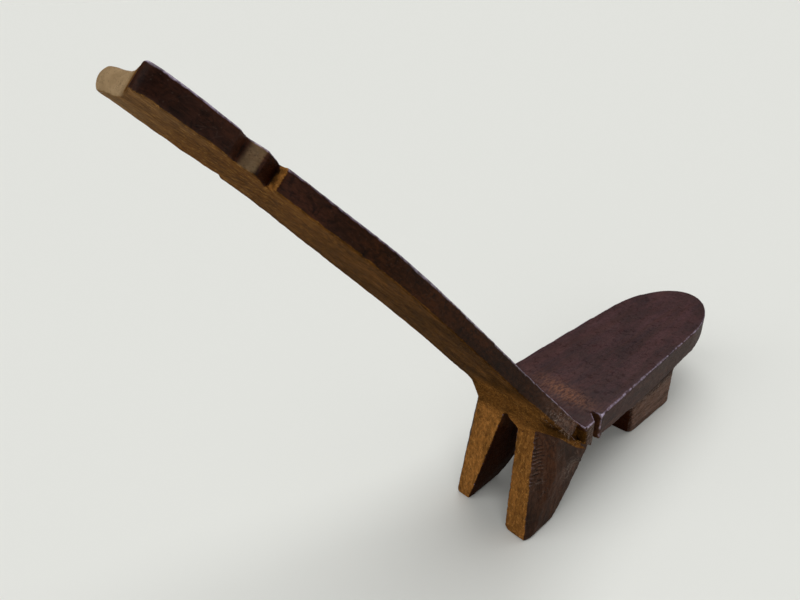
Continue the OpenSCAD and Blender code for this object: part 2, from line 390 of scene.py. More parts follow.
@dataclass
class Plank:
    """The back: foot, blade, notched neck and crest, as one bent plank."""

    foot_width: float = 164.0
    waist_width: float = 139.0
    waist: float = 250.0
    swell_width: float = 147.0
    swell: float = 530.0
    top_width: float = 115.0
    blade_end: float = 697.7
    flare_half: float = 98.4
    flare_start: float = 2.0
    flare_end: float = 22.0
    foot_rows: int = 190
    corner_cuts: int = 6
    columns: int = 32
    layers: int = 5
    end_start: float = 776.0
    end_bulge: float = 3.2
    end_line: tuple[Point2, ...] = (
        (-56.0, 819.0), (-53.0, 822.3), (-48.0, 822.4), (-40.0, 819.6), (-28.0, 815.6), (-18.0, 812.6),
        (-8.6, 809.8), (0.0, 807.4), (6.8, 805.9), (15.3, 804.9), (23.6, 804.7), (30.2, 805.5),
        (35.8, 806.6), (43.3, 807.0), (50.0, 806.7), (54.0, 806.0), (57.0, 804.0))
    rear_bevel: float = 5.0
    bevel_start: float = 742.0
    bevel_reach: float = 70.0
    corner_reach: float = 60.0
    right_edge: tuple[Point2, ...] = (
        (699.5, 57.0), (695.0, 42.0), (709.0, 51.8), (721.0, 59.3), (725.5, 57.6), (732.0, 52.9),
        (737.0, 49.3), (744.0, 54.5), (749.5, 58.8), (768.0, 59.6), (800.0, 58.8), (814.0, 57.2),
        (820.0, 55.4), (823.0, 52.4), (824.0, 48.5))
    left_edge: tuple[Point2, ...] = (
        (679.0, 60.0), (686.0, 49.0), (699.0, 54.0), (708.0, 54.2), (716.0, 56.6), (722.0, 59.4),
        (728.0, 59.8), (736.0, 56.4), (745.0, 56.4), (751.0, 58.4), (768.0, 58.8), (782.0, 58.8),
        (794.0, 58.4), (801.0, 57.6), (806.0, 55.6))

    def half_width(self, s: float) -> float:
        """Half width of foot and blade at a length from the foot of the back."""
        if s < self.waist:
            half = ease(self.foot_width, self.waist_width, max(s, 0.0) / self.waist) / 2.0
        elif s < self.swell:
            share = (s - self.waist) / (self.swell - self.waist)
            half = ease(self.waist_width, self.swell_width, share) / 2.0
        else:
            share = min((s - self.swell) / (self.blade_end - self.swell), 1.0)
            half = ease(self.swell_width, self.top_width, share) / 2.0
        if s < self.flare_end:
            share = max(s - self.flare_start, 0.0) / (self.flare_end - self.flare_start)
            half = self.flare_half + (half - self.flare_half) * share
        return half

    def edge(self, corners: Sequence[Point2]) -> Array:
        """Rows of one edge of the plank, from the foot to the end of the crest.

        Args:
            corners: Corners of neck and crest, as (s, half width).

        Returns:
            One row of [s, half width] for each station; both edges have equal counts.
        """
        last = corners[0][0] - 2.0
        rows = [(s, self.half_width(s)) for s in np.linspace(-4.0, last, self.foot_rows)]
        gap = corners[0][1] - rows[-1][1]
        rows = [(s, half + gap * max(0.0, 1.0 + (s - last) / self.corner_reach)) for s, half in rows]
        rows.append(corners[0])
        for start, end in zip(corners[:-1], corners[1:]):
            for cut in range(1, self.corner_cuts + 1):
                share = cut / self.corner_cuts
                rows.append((start[0] + (end[0] - start[0]) * share, start[1] + (end[1] - start[1]) * share))
        return np.array(rows)

    def build(self) -> Solid:
        """Lays a grid between both edges, gives it thickness and bends it along the curve.

        Returns:
            The closed plank.
        """
        right = self.edge(self.right_edge)
        left = self.edge(self.left_edge)
        last = len(right) - 1
        bm = slab(self.columns, last)
        uprights = [edge for edge in bm.edges if abs(edge.verts[0].co.z - edge.verts[1].co.z) > 0.5]
        bmesh.ops.subdivide_edges(bm, edges=uprights, cuts=self.layers, use_grid_fill=True)
        curve = CURVE.front()
        ends = np.array(self.end_line)
        for vert in bm.verts:
            across = (vert.co.x + 1.0) / 2.0
            row = round((vert.co.y + 1.0) / 2.0 * last)
            spot = Vector((-right[row][1], right[row][0])).lerp(Vector((left[row][1], left[row][0])), across)
            fade = max(0.0, (spot.y - self.bevel_start) / self.bevel_reach)
            spot.x -= self.rear_bevel * fade * vert.co.z * across ** 4
            if spot.y > self.end_start:
                straight = right[-1][0] + (left[-1][0] - right[-1][0]) * across
                wanted = float(np.interp(spot.x, ends[:, 0], ends[:, 1]))
                swell = 4.0 * vert.co.z * (1.0 - vert.co.z) * min(max(spot.x / 40.0, 0.0), 1.0)
                wanted += self.end_bulge * swell
                spot.y += (wanted - straight) * (spot.y - self.end_start) / (straight - self.end_start)
            vert.co = CURVE.place(curve, spot.x, spot.y, vert.co.z)
        bmesh.ops.recalc_face_normals(bm, faces=bm.faces)
        return bm


@dataclass
class Hip:
    """Mass where back, seat and rear legs meet, with its teeth, notches and recesses."""

    front_y: float = SEAT_JOINT_Y
    bend: Point2 = (93.0, 252.0)
    seat_half: float = 98.6
    flank_half: float = 79.5
    flank_y: float = 14.6
    right_bevel: tuple[Point2, Point2] = ((-75.0, 60.0), (-66.0, 98.0))
    left_bevel: tuple[Point2, Point2] = ((76.0, 42.0), (45.0, 98.0))
    notch_apex: Point2 = (75.0, -50.0)
    notch_rear: Point2 = (98.0, -25.0)
    recess_floor: float = 75.0
    wing_floor: float = 84.8
    recess_corners: tuple[Point2, ...] = (
        (-4.0, 142.5), (0.5, 171.5), (7.5, 180.5), (12.0, 169.5), (22.0, 160.0))
    wing_corners: tuple[Point2, ...] = (
        (6.5, 179.5), (17.0, 191.5), (34.0, 186.0), (22.0, 160.0), (10.0, 160.0))
    fillet_half: float = 68.5
    fillet_reach: tuple[float, float] = (60.0, 114.0)
    roof_fall: float = 12.0
    roof_rise: float = 14.0

    def shoulder(self) -> Solid:
        """Part between the seat and the foot of the back, as wide as the seat."""
        corners = [(self.front_y - 6.0, 174.9), (0.0, 176.0), (6.0, 182.0), (30.0, 165.0),
                   LEGS_LOW, (self.front_y - 6.0, 127.0)]
        bm = outline_solid([(-self.seat_half, y, z) for y, z in corners],
                           Vector((2.0 * self.seat_half, 0.0, 0.0)))
        for side in (-1.0, 1.0):
            slant = Vector((side * (self.flank_y + 2.0), self.seat_half - self.flank_half, 0.0))
            hew(bm, Vector((side * self.seat_half, -2.0, 0.0)), slant)
        return bm

    def rump(self) -> Solid:
        """Wedge under the back that the rear legs grow from."""
        corners = [(0.0, 175.0), self.bend, LEGS_REAR, LEGS_LOW]
        bm = outline_solid([(-self.flank_half, y, z) for y, z in corners],
                           Vector((2.0 * self.flank_half, 0.0, 0.0)))
        for side, (front, rear) in ((-1.0, self.right_bevel), (1.0, self.left_bevel)):
            hew(bm, Vector((front[0], front[1], 0.0)),
                Vector((side * (rear[1] - front[1]), side * (front[0] - rear[0]), 0.0)))
            hew(bm, Vector((front[0], front[1], 0.0)),
                Vector((side * (front[1] - self.flank_y), self.flank_half - abs(front[0]), 0.0)))
        return bm

    def notch_cutters(self) -> list[Solid]:
        """Upright V notches between the teeth and the seat, which lean a little below."""
        tools = []
        for side in (-1.0, 1.0):
            apex = Vector((self.notch_apex[0], self.notch_apex[1], 90.0))
            rear = Vector((self.notch_rear[0], self.notch_rear[1], 90.0))
            far = apex + (rear - apex) * 2.0
            corners = [apex, Vector((far.x, apex.y + 1.5, 90.0)), far]
            tools.append(outline_solid([(side * c.x, c.y, c.z) for c in corners], Vector((0.0, 0.0, 120.0))))
        return tools

    def recess_cutters(self) -> list[Solid]:
        """Pockets behind the teeth and the hollows under the thin wings of the flare."""
        tools = []
        hollows = ((self.recess_corners, self.recess_floor), (self.wing_corners, self.wing_floor))
        for side in (-1.0, 1.0):
            for corners, start in hollows:
                tools.append(outline_solid([(side * start, y, z) for y, z in corners],
                                           Vector((side * 40.0, 0.0, 0.0))))
        return tools

    def shoulder_fillet(self) -> Solid:
        """Wood that joins the left edge of the blade to the bevelled corner of the hip."""
        curve = CURVE.front()
        low, high = self.fillet_reach
        edge = [CURVE.place(curve, self.fillet_half, s, depth) for s in (low, high) for depth in (0.3, 1.0)]
        inner = [CURVE.place(curve, self.left_bevel[1][0], s, 1.0) for s in (low, high)]
        corner = [Vector((self.left_bevel[1][0], LEGS_REAR[0] - 1.0, z)) for z in (212.0, 226.0)]
        return wedge([tuple(point) for point in (*edge, *inner, *corner)])

    def along_roof(self, section: Sequence[Point2]) -> Solid:
        """Bar that lies along the roof of the slot between the legs.

        Args:
            section: Corners as (x, distance above the roof).

        Returns:
            The closed bar.
        """
        run, rise = LEGS_REAR[0] - LEGS_LOW[0], LEGS_REAR[1] - LEGS_LOW[1]
        length = math.hypot(run, rise)
        start = [(x, LEGS_LOW[0] - up * rise / length, LEGS_LOW[1] + up * run / length)
                 for x, up in section]
        return outline_solid(start, Vector((0.0, run, rise)))

    def roof_wedge(self) -> Solid:
        """Wood that lowers the roof of the slot towards the right leg."""
        return self.along_roof([(-14.0, 3.0), (-47.0, 3.0), (-47.0, -self.roof_fall), (-14.0, 0.0)])

    def roof_cutter(self) -> Solid:
        """Shape that raises the roof of the slot towards the left leg."""
        return self.along_roof([(-24.0, -1.0), (-24.0, 0.0), (-1.0, self.roof_rise), (-1.0, -1.0)])


@dataclass
class SeatTongue:
    """Seat: a thick tongue with a round nose and an underside that rises towards the nose."""

    top: float = 176.0
    drop: float = 12.0
    length: float = 606.0
    rear_width: float = 197.4
    front_width: float = 175.4
    nose: float = 190.0
    rear_thickness: float = 45.0
    middle_thickness: float = 53.0
    nose_thickness: float = 22.0
    leg_rear: float = 214.0
    leg_front: float = 420.0
    start: float = 48.0
    left_bulge: float = 2.0
    columns: int = 24
    straight_rows: int = 60
    nose_rows: int = 40

    def top_height(self, y: float) -> float:
        """Height of the seat's top at a distance in front of the back."""
        return self.top - self.drop * y / self.length

    def under_height(self, y: float) -> float:
        """Height of the seat's underside at a distance in front of the back."""
        middle = self.top_height(248.0) - self.middle_thickness
        if y < self.leg_rear:
            rear = self.top_height(50.0) - self.rear_thickness
            return rear + (middle - rear) * (y - 50.0) / (self.leg_rear - 50.0)
        if y < self.leg_front:
            return middle
        share = (y - self.leg_front) / (self.length - self.leg_front)
        rise = self.top_height(self.length) - self.nose_thickness - middle
        return middle + rise * (1.0 - math.cos(math.pi / 2.0 * share))

    def stations(self) -> list[Point2]:
        """Distances in front of the back with the half width at each.

        Returns:
            Pairs of (y, half width) from the rear to the tip of the nose.
        """
        nose_start = self.length - self.nose
        rows = [(y, (self.rear_width - (self.rear_width - self.front_width) * y / nose_start) / 2.0)
                for y in np.linspace(self.start, nose_start, self.straight_rows)]
        for angle in np.linspace(0.0, math.pi / 2.0, self.nose_rows)[1:]:
            rows.append((nose_start + self.nose * math.sin(angle), self.front_width / 2.0 * math.cos(angle)))
        return rows

    def build(self) -> Solid:
        """Shapes a grid to the outline and gives it its thickness.

        Returns:
            The closed seat.
        """
        rows = self.stations()
        bm = slab(self.columns, len(rows) - 1)
        for vert in bm.verts:
            y, half = rows[round((vert.co.y + 1.0) / 2.0 * (len(rows) - 1))]
            height = self.top_height(y) if vert.co.z > 0.5 else self.under_height(y)
            bulge = self.left_bulge * math.sin(math.pi * y / self.length) * max(vert.co.x, 0.0)
            vert.co = Vector((vert.co.x * half + bulge, -y, height))
        bmesh.ops.remove_doubles(bm, verts=bm.verts, dist=0.01)
        bmesh.ops.recalc_face_normals(bm, faces=bm.faces)
        return bm


@dataclass
class RearLeg:
    """One rear leg, hewn from a block by flat cuts."""

    side: Side
    foot_width: float
    foot_set: float
    slot_x: float
    corner_x: float
    bevel: float
    gap_half: float = 44.0
    skew: float = 0.0
    heel_y: float = 120.0
    depth: float = 80.0
    toe_height: float = 38.0
    toe_depth: float = 32.0
    top_half: float = 82.0
    bulge: float = 8.0
    heel_bevel: float = 5.0
    foot_chamfer: float = 3.5
    rooted: float = 12.0

    def build(self) -> Solid:
        """Starts from a block and hews it down to the leg.

        Returns:
            The closed leg, which reaches a little way up into the hip.
        """
        sign = float(self.side.value)
        heel = self.heel_y - self.foot_set
        toe = heel - self.depth
        outer = self.gap_half + self.foot_width
        hip_half = self.top_half + self.bulge
        rise = Vector((0.0, LEGS_REAR[0] - LEGS_LOW[0], LEGS_REAR[1] - LEGS_LOW[1]))
        shin = Vector((0.0, LEGS_LOW[0] - toe + self.toe_depth, LEGS_LOW[1] - self.toe_height))
        top_z = LEGS_REAR[1]
        cuts = [
            ((0.0, 0.0, 0.0), (0.0, 0.0, -1.0)),
            ((0.0, LEGS_LOW[0], LEGS_LOW[1] + self.rooted), (0.0, -rise.z, rise.y)),
            ((0.0, heel, 0.0), (0.0, top_z, heel - LEGS_REAR[0])),
            ((0.0, toe, 0.0), (0.0, -self.toe_height, -self.toe_depth)),
            ((0.0, toe - self.toe_depth, self.toe_height), (0.0, -shin.z, shin.y)),
            ((sign * self.gap_half, heel, 0.0),
             (-sign * top_z, self.skew * top_z, sign * self.slot_x - self.gap_half)),
            ((sign * (self.gap_half + self.foot_chamfer), heel, 0.0), (-sign * 15.0, 0.0, -5.5)),
            ((sign * outer, 0.0, 0.0), (sign * LEGS_LOW[1], 0.0, outer - hip_half)),
            ((sign * hip_half, 0.0, LEGS_LOW[1]),
             (sign * (top_z - LEGS_LOW[1]), 0.0, self.bulge)),
            self.root_chamfer(sign, hip_half),
        ]
        bm = bmesh.new()
        bmesh.ops.create_cube(bm, size=600.0)
        for point, outward in cuts:
            hew(bm, Vector(point), Vector(outward))
        self.hew_heel(bm, sign, heel, outer)
        return bm

    def root_chamfer(self, sign: float, hip_half: float) -> tuple[Point3, Point3]:
        """Cut that slopes the leg's outer face in towards the hip, above their joint.

        Args:
            sign: Sign of X on this side.
            hip_half: Half width of the legs at their widest.

        Returns:
            A point of the cut and its outward direction.
        """
        run, rise = LEGS_REAR[0] - LEGS_LOW[0], LEGS_REAR[1] - LEGS_LOW[1]
        length = math.hypot(run, rise)
        return ((sign * (hip_half - 2.0), LEGS_LOW[0], LEGS_LOW[1] - 1.0),
                (sign * 1.0, -0.9 * rise / length, 0.9 * run / length))

    def hew_heel(self, bm: Solid, sign: float, heel: float, outer: float) -> None:
        """Cuts the leaning bevel along the outer rear edge.

        Args:
            bm: The leg.
            sign: Sign of X on this side.
            heel: Y of the heel on the floor.
            outer: Distance of the foot's outer face from the middle plane.
        """
        foot = Vector((sign * (outer - self.heel_bevel), heel, 0.0))
        top = Vector((sign * self.corner_x, LEGS_REAR[0], LEGS_REAR[1]))
        level = Vector((sign * (self.top_half - self.corner_x), -self.bevel, 0.0))
        outward = (top - foot).cross(level)
        hew(bm, foot, outward if outward.x * sign > 0.0 else -outward)


@dataclass
class FrontLeg:
    """Broad block under the middle of the seat."""

    foot_rear: Point2 = (69.5, -248.0)
    foot_front: Point2 = (75.0, -409.0)
    top_rear: Point2 = (76.0, -214.0)
    top_front: Point2 = (77.0, -399.0)
    height: float = 118.1
    corner: float = 12.0
    rooted: float = 14.0

    def build(self) -> Solid:
        """Starts from a cube, draws its corners to the leg's and rounds the upright edges.

        Returns:
            The closed leg, which reaches a little way up into the seat.
        """
        bm = bmesh.new()
        bmesh.ops.create_cube(bm, size=2.0)
        tall = self.height + self.rooted
        for vert in bm.verts:
            upper, rear = vert.co.z > 0.0, vert.co.y > 0.0
            high, low = (self.top_rear, self.foot_rear) if rear else (self.top_front, self.foot_front)
            half, y = high if upper else low
            vert.co = Vector((vert.co.x * half, y, tall if upper else 0.0))
        uprights = [edge for edge in bm.edges if abs(edge.verts[0].co.z - edge.verts[1].co.z) > tall / 2.0]
        bmesh.ops.bevel(bm, geom=uprights, offset=self.corner, offset_type="OFFSET", affect="EDGES",
                        segments=6, profile=0.5, material=-1)
        return bm


@dataclass
class Skin:
    """Fine skin of the wood, as arrays that can be worn and graded."""

    mesh: bpy.types.Mesh
    voxel: float

    @staticmethod
    def read(items: Sockets, name: str, width: int, kind: type = np.float32) -> Array:
        """Reads a property of every point or edge, one row for each.

        Args:
            items: The points or edges.
            name: Name of the property.
            width: How many numbers it has.
            kind: Kind of the numbers.

        Returns:
            The rows.
        """
        flat = np.empty(len(items) * width, kind)
        items.foreach_get(name, flat)
        return flat.reshape(-1, width)

    def points(self) -> Array:
        """Points in the carver's millimetres."""
        return self.read(self.mesh.vertices, "co", 3).astype(float) / MM - FOOT

    def move_to(self, points: Array) -> None:
        """Puts every point at its new place, given in the carver's millimetres."""
        metres = (points + FOOT) * MM
        self.mesh.vertices.foreach_set("co", metres.astype(np.float32).ravel())
        self.mesh.update()

    def normals(self) -> Array:
        """Outward direction at every point."""
        return self.read(self.mesh.vertex_normals, "vector", 3).astype(float)

    def pairs(self) -> Array:
        """Ends of every edge, one row for each."""
        return self.read(self.mesh.edges, "vertices", 2, np.int32)

    def relaxed(self, points: Array, rounds: int, weight: Array | float = 1.0) -> Array:
        """Draws points towards their neighbours.

        Args:
            points: Points to start from.
            rounds: How often to do it.
            weight: How strongly, for each point or for all.

        Returns:
            The smoothed points.
        """
        pairs = self.pairs()
        count = len(points)
        ends = np.concatenate([pairs[:, 0], pairs[:, 1]])
        others = np.concatenate([pairs[:, 1], pairs[:, 0]])
        valence = np.maximum(np.bincount(ends, minlength=count), 1)[:, None]
        share = 0.6 * (weight[:, None] if isinstance(weight, np.ndarray) else weight)
        for _ in range(rounds):
            sums = np.stack([np.bincount(ends, weights=points[others, axis], minlength=count)
                             for axis in range(3)], axis=1)
            points = points + (sums / valence - points) * share
        return points

    def rounds(self, at_coarse: float) -> int:
        """Rounds of smoothing that reach as far as this many do at RELAX_VOXEL."""
        return max(1, round(at_coarse * (RELAX_VOXEL / self.voxel) ** 2))

    def bend(self) -> Array:
        """How far each point stands proud of its surroundings, in millimetres."""
        points = self.points()
        smooth = self.relaxed(points, self.rounds(9.0))
        return np.einsum("ij,ij->i", self.normals(), points - smooth)

    def keep(self, zone: Zone, grades: Array) -> None:
        """Stores a grade at every point."""
        layer = self.mesh.attributes.new(zone.value, "FLOAT", "POINT")
        layer.data.foreach_set("value", np.clip(grades, 0.0, 1.0).astype(np.float32))

    def keep_grain(self, grain: Array) -> None:
        """Stores where each point lies in the log: across, along and through, in metres."""
        layer = self.mesh.attributes.new("grain", "FLOAT_VECTOR", "POINT")
        layer.data.foreach_set("vector", (grain * MM).astype(np.float32).ravel())


def waves(points: Array, reach: Point3, seed: float) -> Array:
    """Smooth random height at every point.

    Args:
        points: Points in millimetres.
        reach: Size of a wave along X, Y and Z.
        seed: Number that picks the pattern.

    Returns:
        Heights from about -1 to 1.
    """
    scaled = points / np.array(reach) + seed
    return np.array([noise.noise(Vector(point)) for point in scaled])


def dishes(points: Array, reach: Point3, seed: float) -> Array:
    """Shallow dished cuts that meet in ridges, as an adze leaves them.

    Args:
        points: Points in millimetres.
        reach: Size of a cut along X, Y and Z.
        seed: Number that picks the pattern.

    Returns:
        0 at the ridges and up to 1 at the bottom of each cut.
    """
    scaled = points / np.array(reach) + seed
    near = np.array([noise.voronoi(Vector(point))[0][0] for point in scaled])
    return 1.0 - np.clip(near / 0.8, 0.0, 1.0) ** 2


@dataclass
class Survey:
    """Where every point of the skin lies on the chair, and which way it faces."""

    points: Array
    normals: Array

    def __post_init__(self) -> None:
        """Works out lengths along the back and the depth behind its front face."""
        curve = CURVE.front()
        run, rise = math.cos(CHORD_SLOPE), math.sin(CHORD_SLOPE)
        y, up = self.points[:, 1], self.points[:, 2] - CURVE.foot_height
        self.along = y * run + up * rise
        self.through = y * rise - up * run
        bow = np.interp(self.along, curve[:, 1] * run + (curve[:, 2] - CURVE.foot_height) * rise,
                        curve[:, 1] * rise - (curve[:, 2] - CURVE.foot_height) * run)
        self.depth = self.through - bow
        self.to_rear = self.normals[:, 1] * rise - self.normals[:, 2] * run
        self.to_crest = self.normals[:, 1] * run + self.normals[:, 2] * rise
        self.above_legs = (self.points[:, 2] - LEGS_LOW[1]) * LEGS_RUN - (y - LEGS_LOW[0]) * LEGS_RISE
        self.is_back = step_up(self.along, 4.0, 16.0) * step_up(self.depth, 36.0, 28.0) * step_up(y, 0.0, 8.0)
        behind = step_up(y, -46.0, -42.0)
        self.is_leg = behind * step_up(self.above_legs, 3.0, -3.0)
        self.is_hip = behind * (1.0 - self.is_leg) * (1.0 - self.is_back)
        self.is_seat = (1.0 - behind) * step_up(self.points[:, 2], 117.0, 119.0)
        self.is_front_leg = (1.0 - behind) * step_up(self.points[:, 2], 119.0, 117.0)

    def grain(self) -> Array:
        """Where each point lies in the log, so that the grain follows its members."""
        x, y, z = self.points.T
        seat = np.stack([x, y, z - CURVE.foot_height], axis=1)
        back = np.stack([x, self.along, -self.depth], axis=1)
        leg = np.stack([x, BEND_ALONG - (BEND_HEIGHT - z), -y], axis=1)
        to_back = step_up(self.along, -14.0, 22.0)[:, None]
        to_leg = step_up(self.depth, 27.0, 62.0) * step_up(z, 262.0, 238.0) * step_up(y, -46.0, -30.0)
        trunk = seat + (back - seat) * to_back
        return trunk + (leg - trunk) * to_leg[:, None]

    def cut_rows(self) -> Array:
        """Short cuts one above the other, as high as CUT_PITCH: 0 on a ridge and 1 in a cut."""
        sway = 2.2 * waves(self.points, (14.0, 14.0, 14.0), 33.0)
        return 0.5 + 0.5 * np.sin(self.points[:, 2] * (2.0 * math.pi / CUT_PITCH) + sway)

    def cut_patches(self) -> Array:
        """Smooth random height that picks where those cuts show."""
        return waves(self.points, (13.0, 13.0, 13.0), 41.0)


@dataclass
class HandWork:
    """What hand tools and years of use do to the plain shapes."""

    swell: float = 1.0
    sway: float = 0.8
    ripple: float = 0.3
    dish_depth: float = 0.55
    leg_dish_depth: float = 0.9
    fine_dish_depth: float = 0.4
    chip_depth: float = 2.0
    cut_depth: float = 1.7
    bow_size: Point3 = (95.0, 130.0, 95.0)
    ripple_size: Point3 = (24.0, 46.0, 24.0)
    dish_size: Point3 = (15.0, 27.0, 15.0)
    fine_dish_size: Point3 = (6.5, 10.0, 6.5)
    nick_size: Point3 = (9.0, 9.0, 9.0)
    fine_nick_size: Point3 = (4.2, 4.2, 4.2)
    bend_place: float = 116.0
    bend_size: float = 26.0
    soft_rounds: float = 26.0
    margin: float = 0.1

    def wear(self, skin: Skin) -> None:
        """Softens the edges, then lets the surface wander as hewn wood does.

        Args:
            skin: The skin to work on.
        """
        points = skin.relaxed(skin.points(), 2)
        skin.move_to(points)
        lay = Survey(skin.points(), skin.normals())
        x, _, z = lay.points.T
        bend = np.exp(-((lay.along - self.bend_place) / self.bend_size) ** 2)
        bend = bend * step_up(lay.depth, 16.0, 26.0) * step_up(z, 205.0, 222.0)
        slot_roof = lay.is_hip * step_up(lay.above_legs, 12.0, 2.0) * step_up(np.abs(x), 60.0, 40.0)
        feet = step_up(z, 12.0, 3.0) * 0.35
        soft = np.clip(bend + 0.4 * slot_roof + feet, 0.0, 1.0)
        skin.move_to(skin.relaxed(skin.points(), skin.rounds(self.soft_rounds), soft))
        proud = skin.bend()
        lay = Survey(skin.points(), skin.normals())
        skin.move_to(self.pressed(lay, proud))

    def pressed(self, lay: Survey, proud: Array) -> Array:
        """Moves the surface in and out by the marks of the tools.

        Args:
            lay: Where the points lie.
            proud: How far each point stands proud of its surroundings.

        Returns:
            The new points, inside the CAD box.
        """
        grain = lay.grain()
        floor = step_up(lay.points[:, 2], 1.0, 8.0)
        low_sides = step_up(lay.along, 320.0, 60.0) * step_up(np.abs(lay.normals[:, 0]), 0.4, 0.8)
        hewn = np.clip(lay.is_leg + lay.is_front_leg + 0.75 * lay.is_hip
                       + lay.is_seat * step_up(lay.normals[:, 2], 0.3, -0.4)
                       + lay.is_back * step_up(lay.to_rear, 0.2, 0.6) * 0.75
                       + lay.is_back * low_sides, 0.0, 1.0)
        coarse = np.clip(lay.is_leg + lay.is_front_leg, 0.0, 1.0)
        height = self.swell + self.sway * waves(grain, self.bow_size, 3.7)
        height += self.ripple * waves(grain, self.ripple_size, 11.3)
        depth = self.dish_depth + (self.leg_dish_depth - self.dish_depth) * coarse
        height -= hewn * depth * (dishes(grain, self.dish_size, 5.1) - 0.4)
        height -= hewn * self.fine_dish_depth * (dishes(grain, self.fine_dish_size, 8.9) - 0.4)
        height -= self.cross_cuts(lay)
        edge = step_up(proud, 0.35, 1.0)
        nick = np.clip(waves(lay.points, self.nick_size, 21.0) - 0.22, 0.0, 1.0)
        nick += 0.7 * np.clip(waves(lay.points, self.fine_nick_size, 27.0) - 0.3, 0.0, 1.0)
        clean = 1.0 - 0.75 * lay.is_back * step_up(lay.along, 60.0, 260.0)
        height -= edge * nick * self.chip_depth * (0.6 + 0.9 * hewn) * clean
        height *= floor
        moved = lay.points + lay.normals * height[:, None]
        low = np.array(CAD_BOX[0]) / MM - FOOT
        high = np.array(CAD_BOX[1]) / MM - FOOT
        return np.clip(moved, low + np.array([self.margin, self.margin, 0.0]), high - self.margin)

    def cross_cuts(self, lay: Survey) -> Array:
        """Depth of the row of short cuts down the outer rear edges of the rear legs."""
        x, y, z = lay.points.T
        outer = lay.is_leg * step_up(x * lay.normals[:, 0], 20.0, 60.0)
        place = step_up(y, 74.0, 92.0) * between(z, (96.0, 118.0, 202.0, 218.0))
        patchy = step_up(lay.cut_patches(), -0.35, 0.1)
        return self.cut_depth * lay.cut_rows() * outer * place * patchy


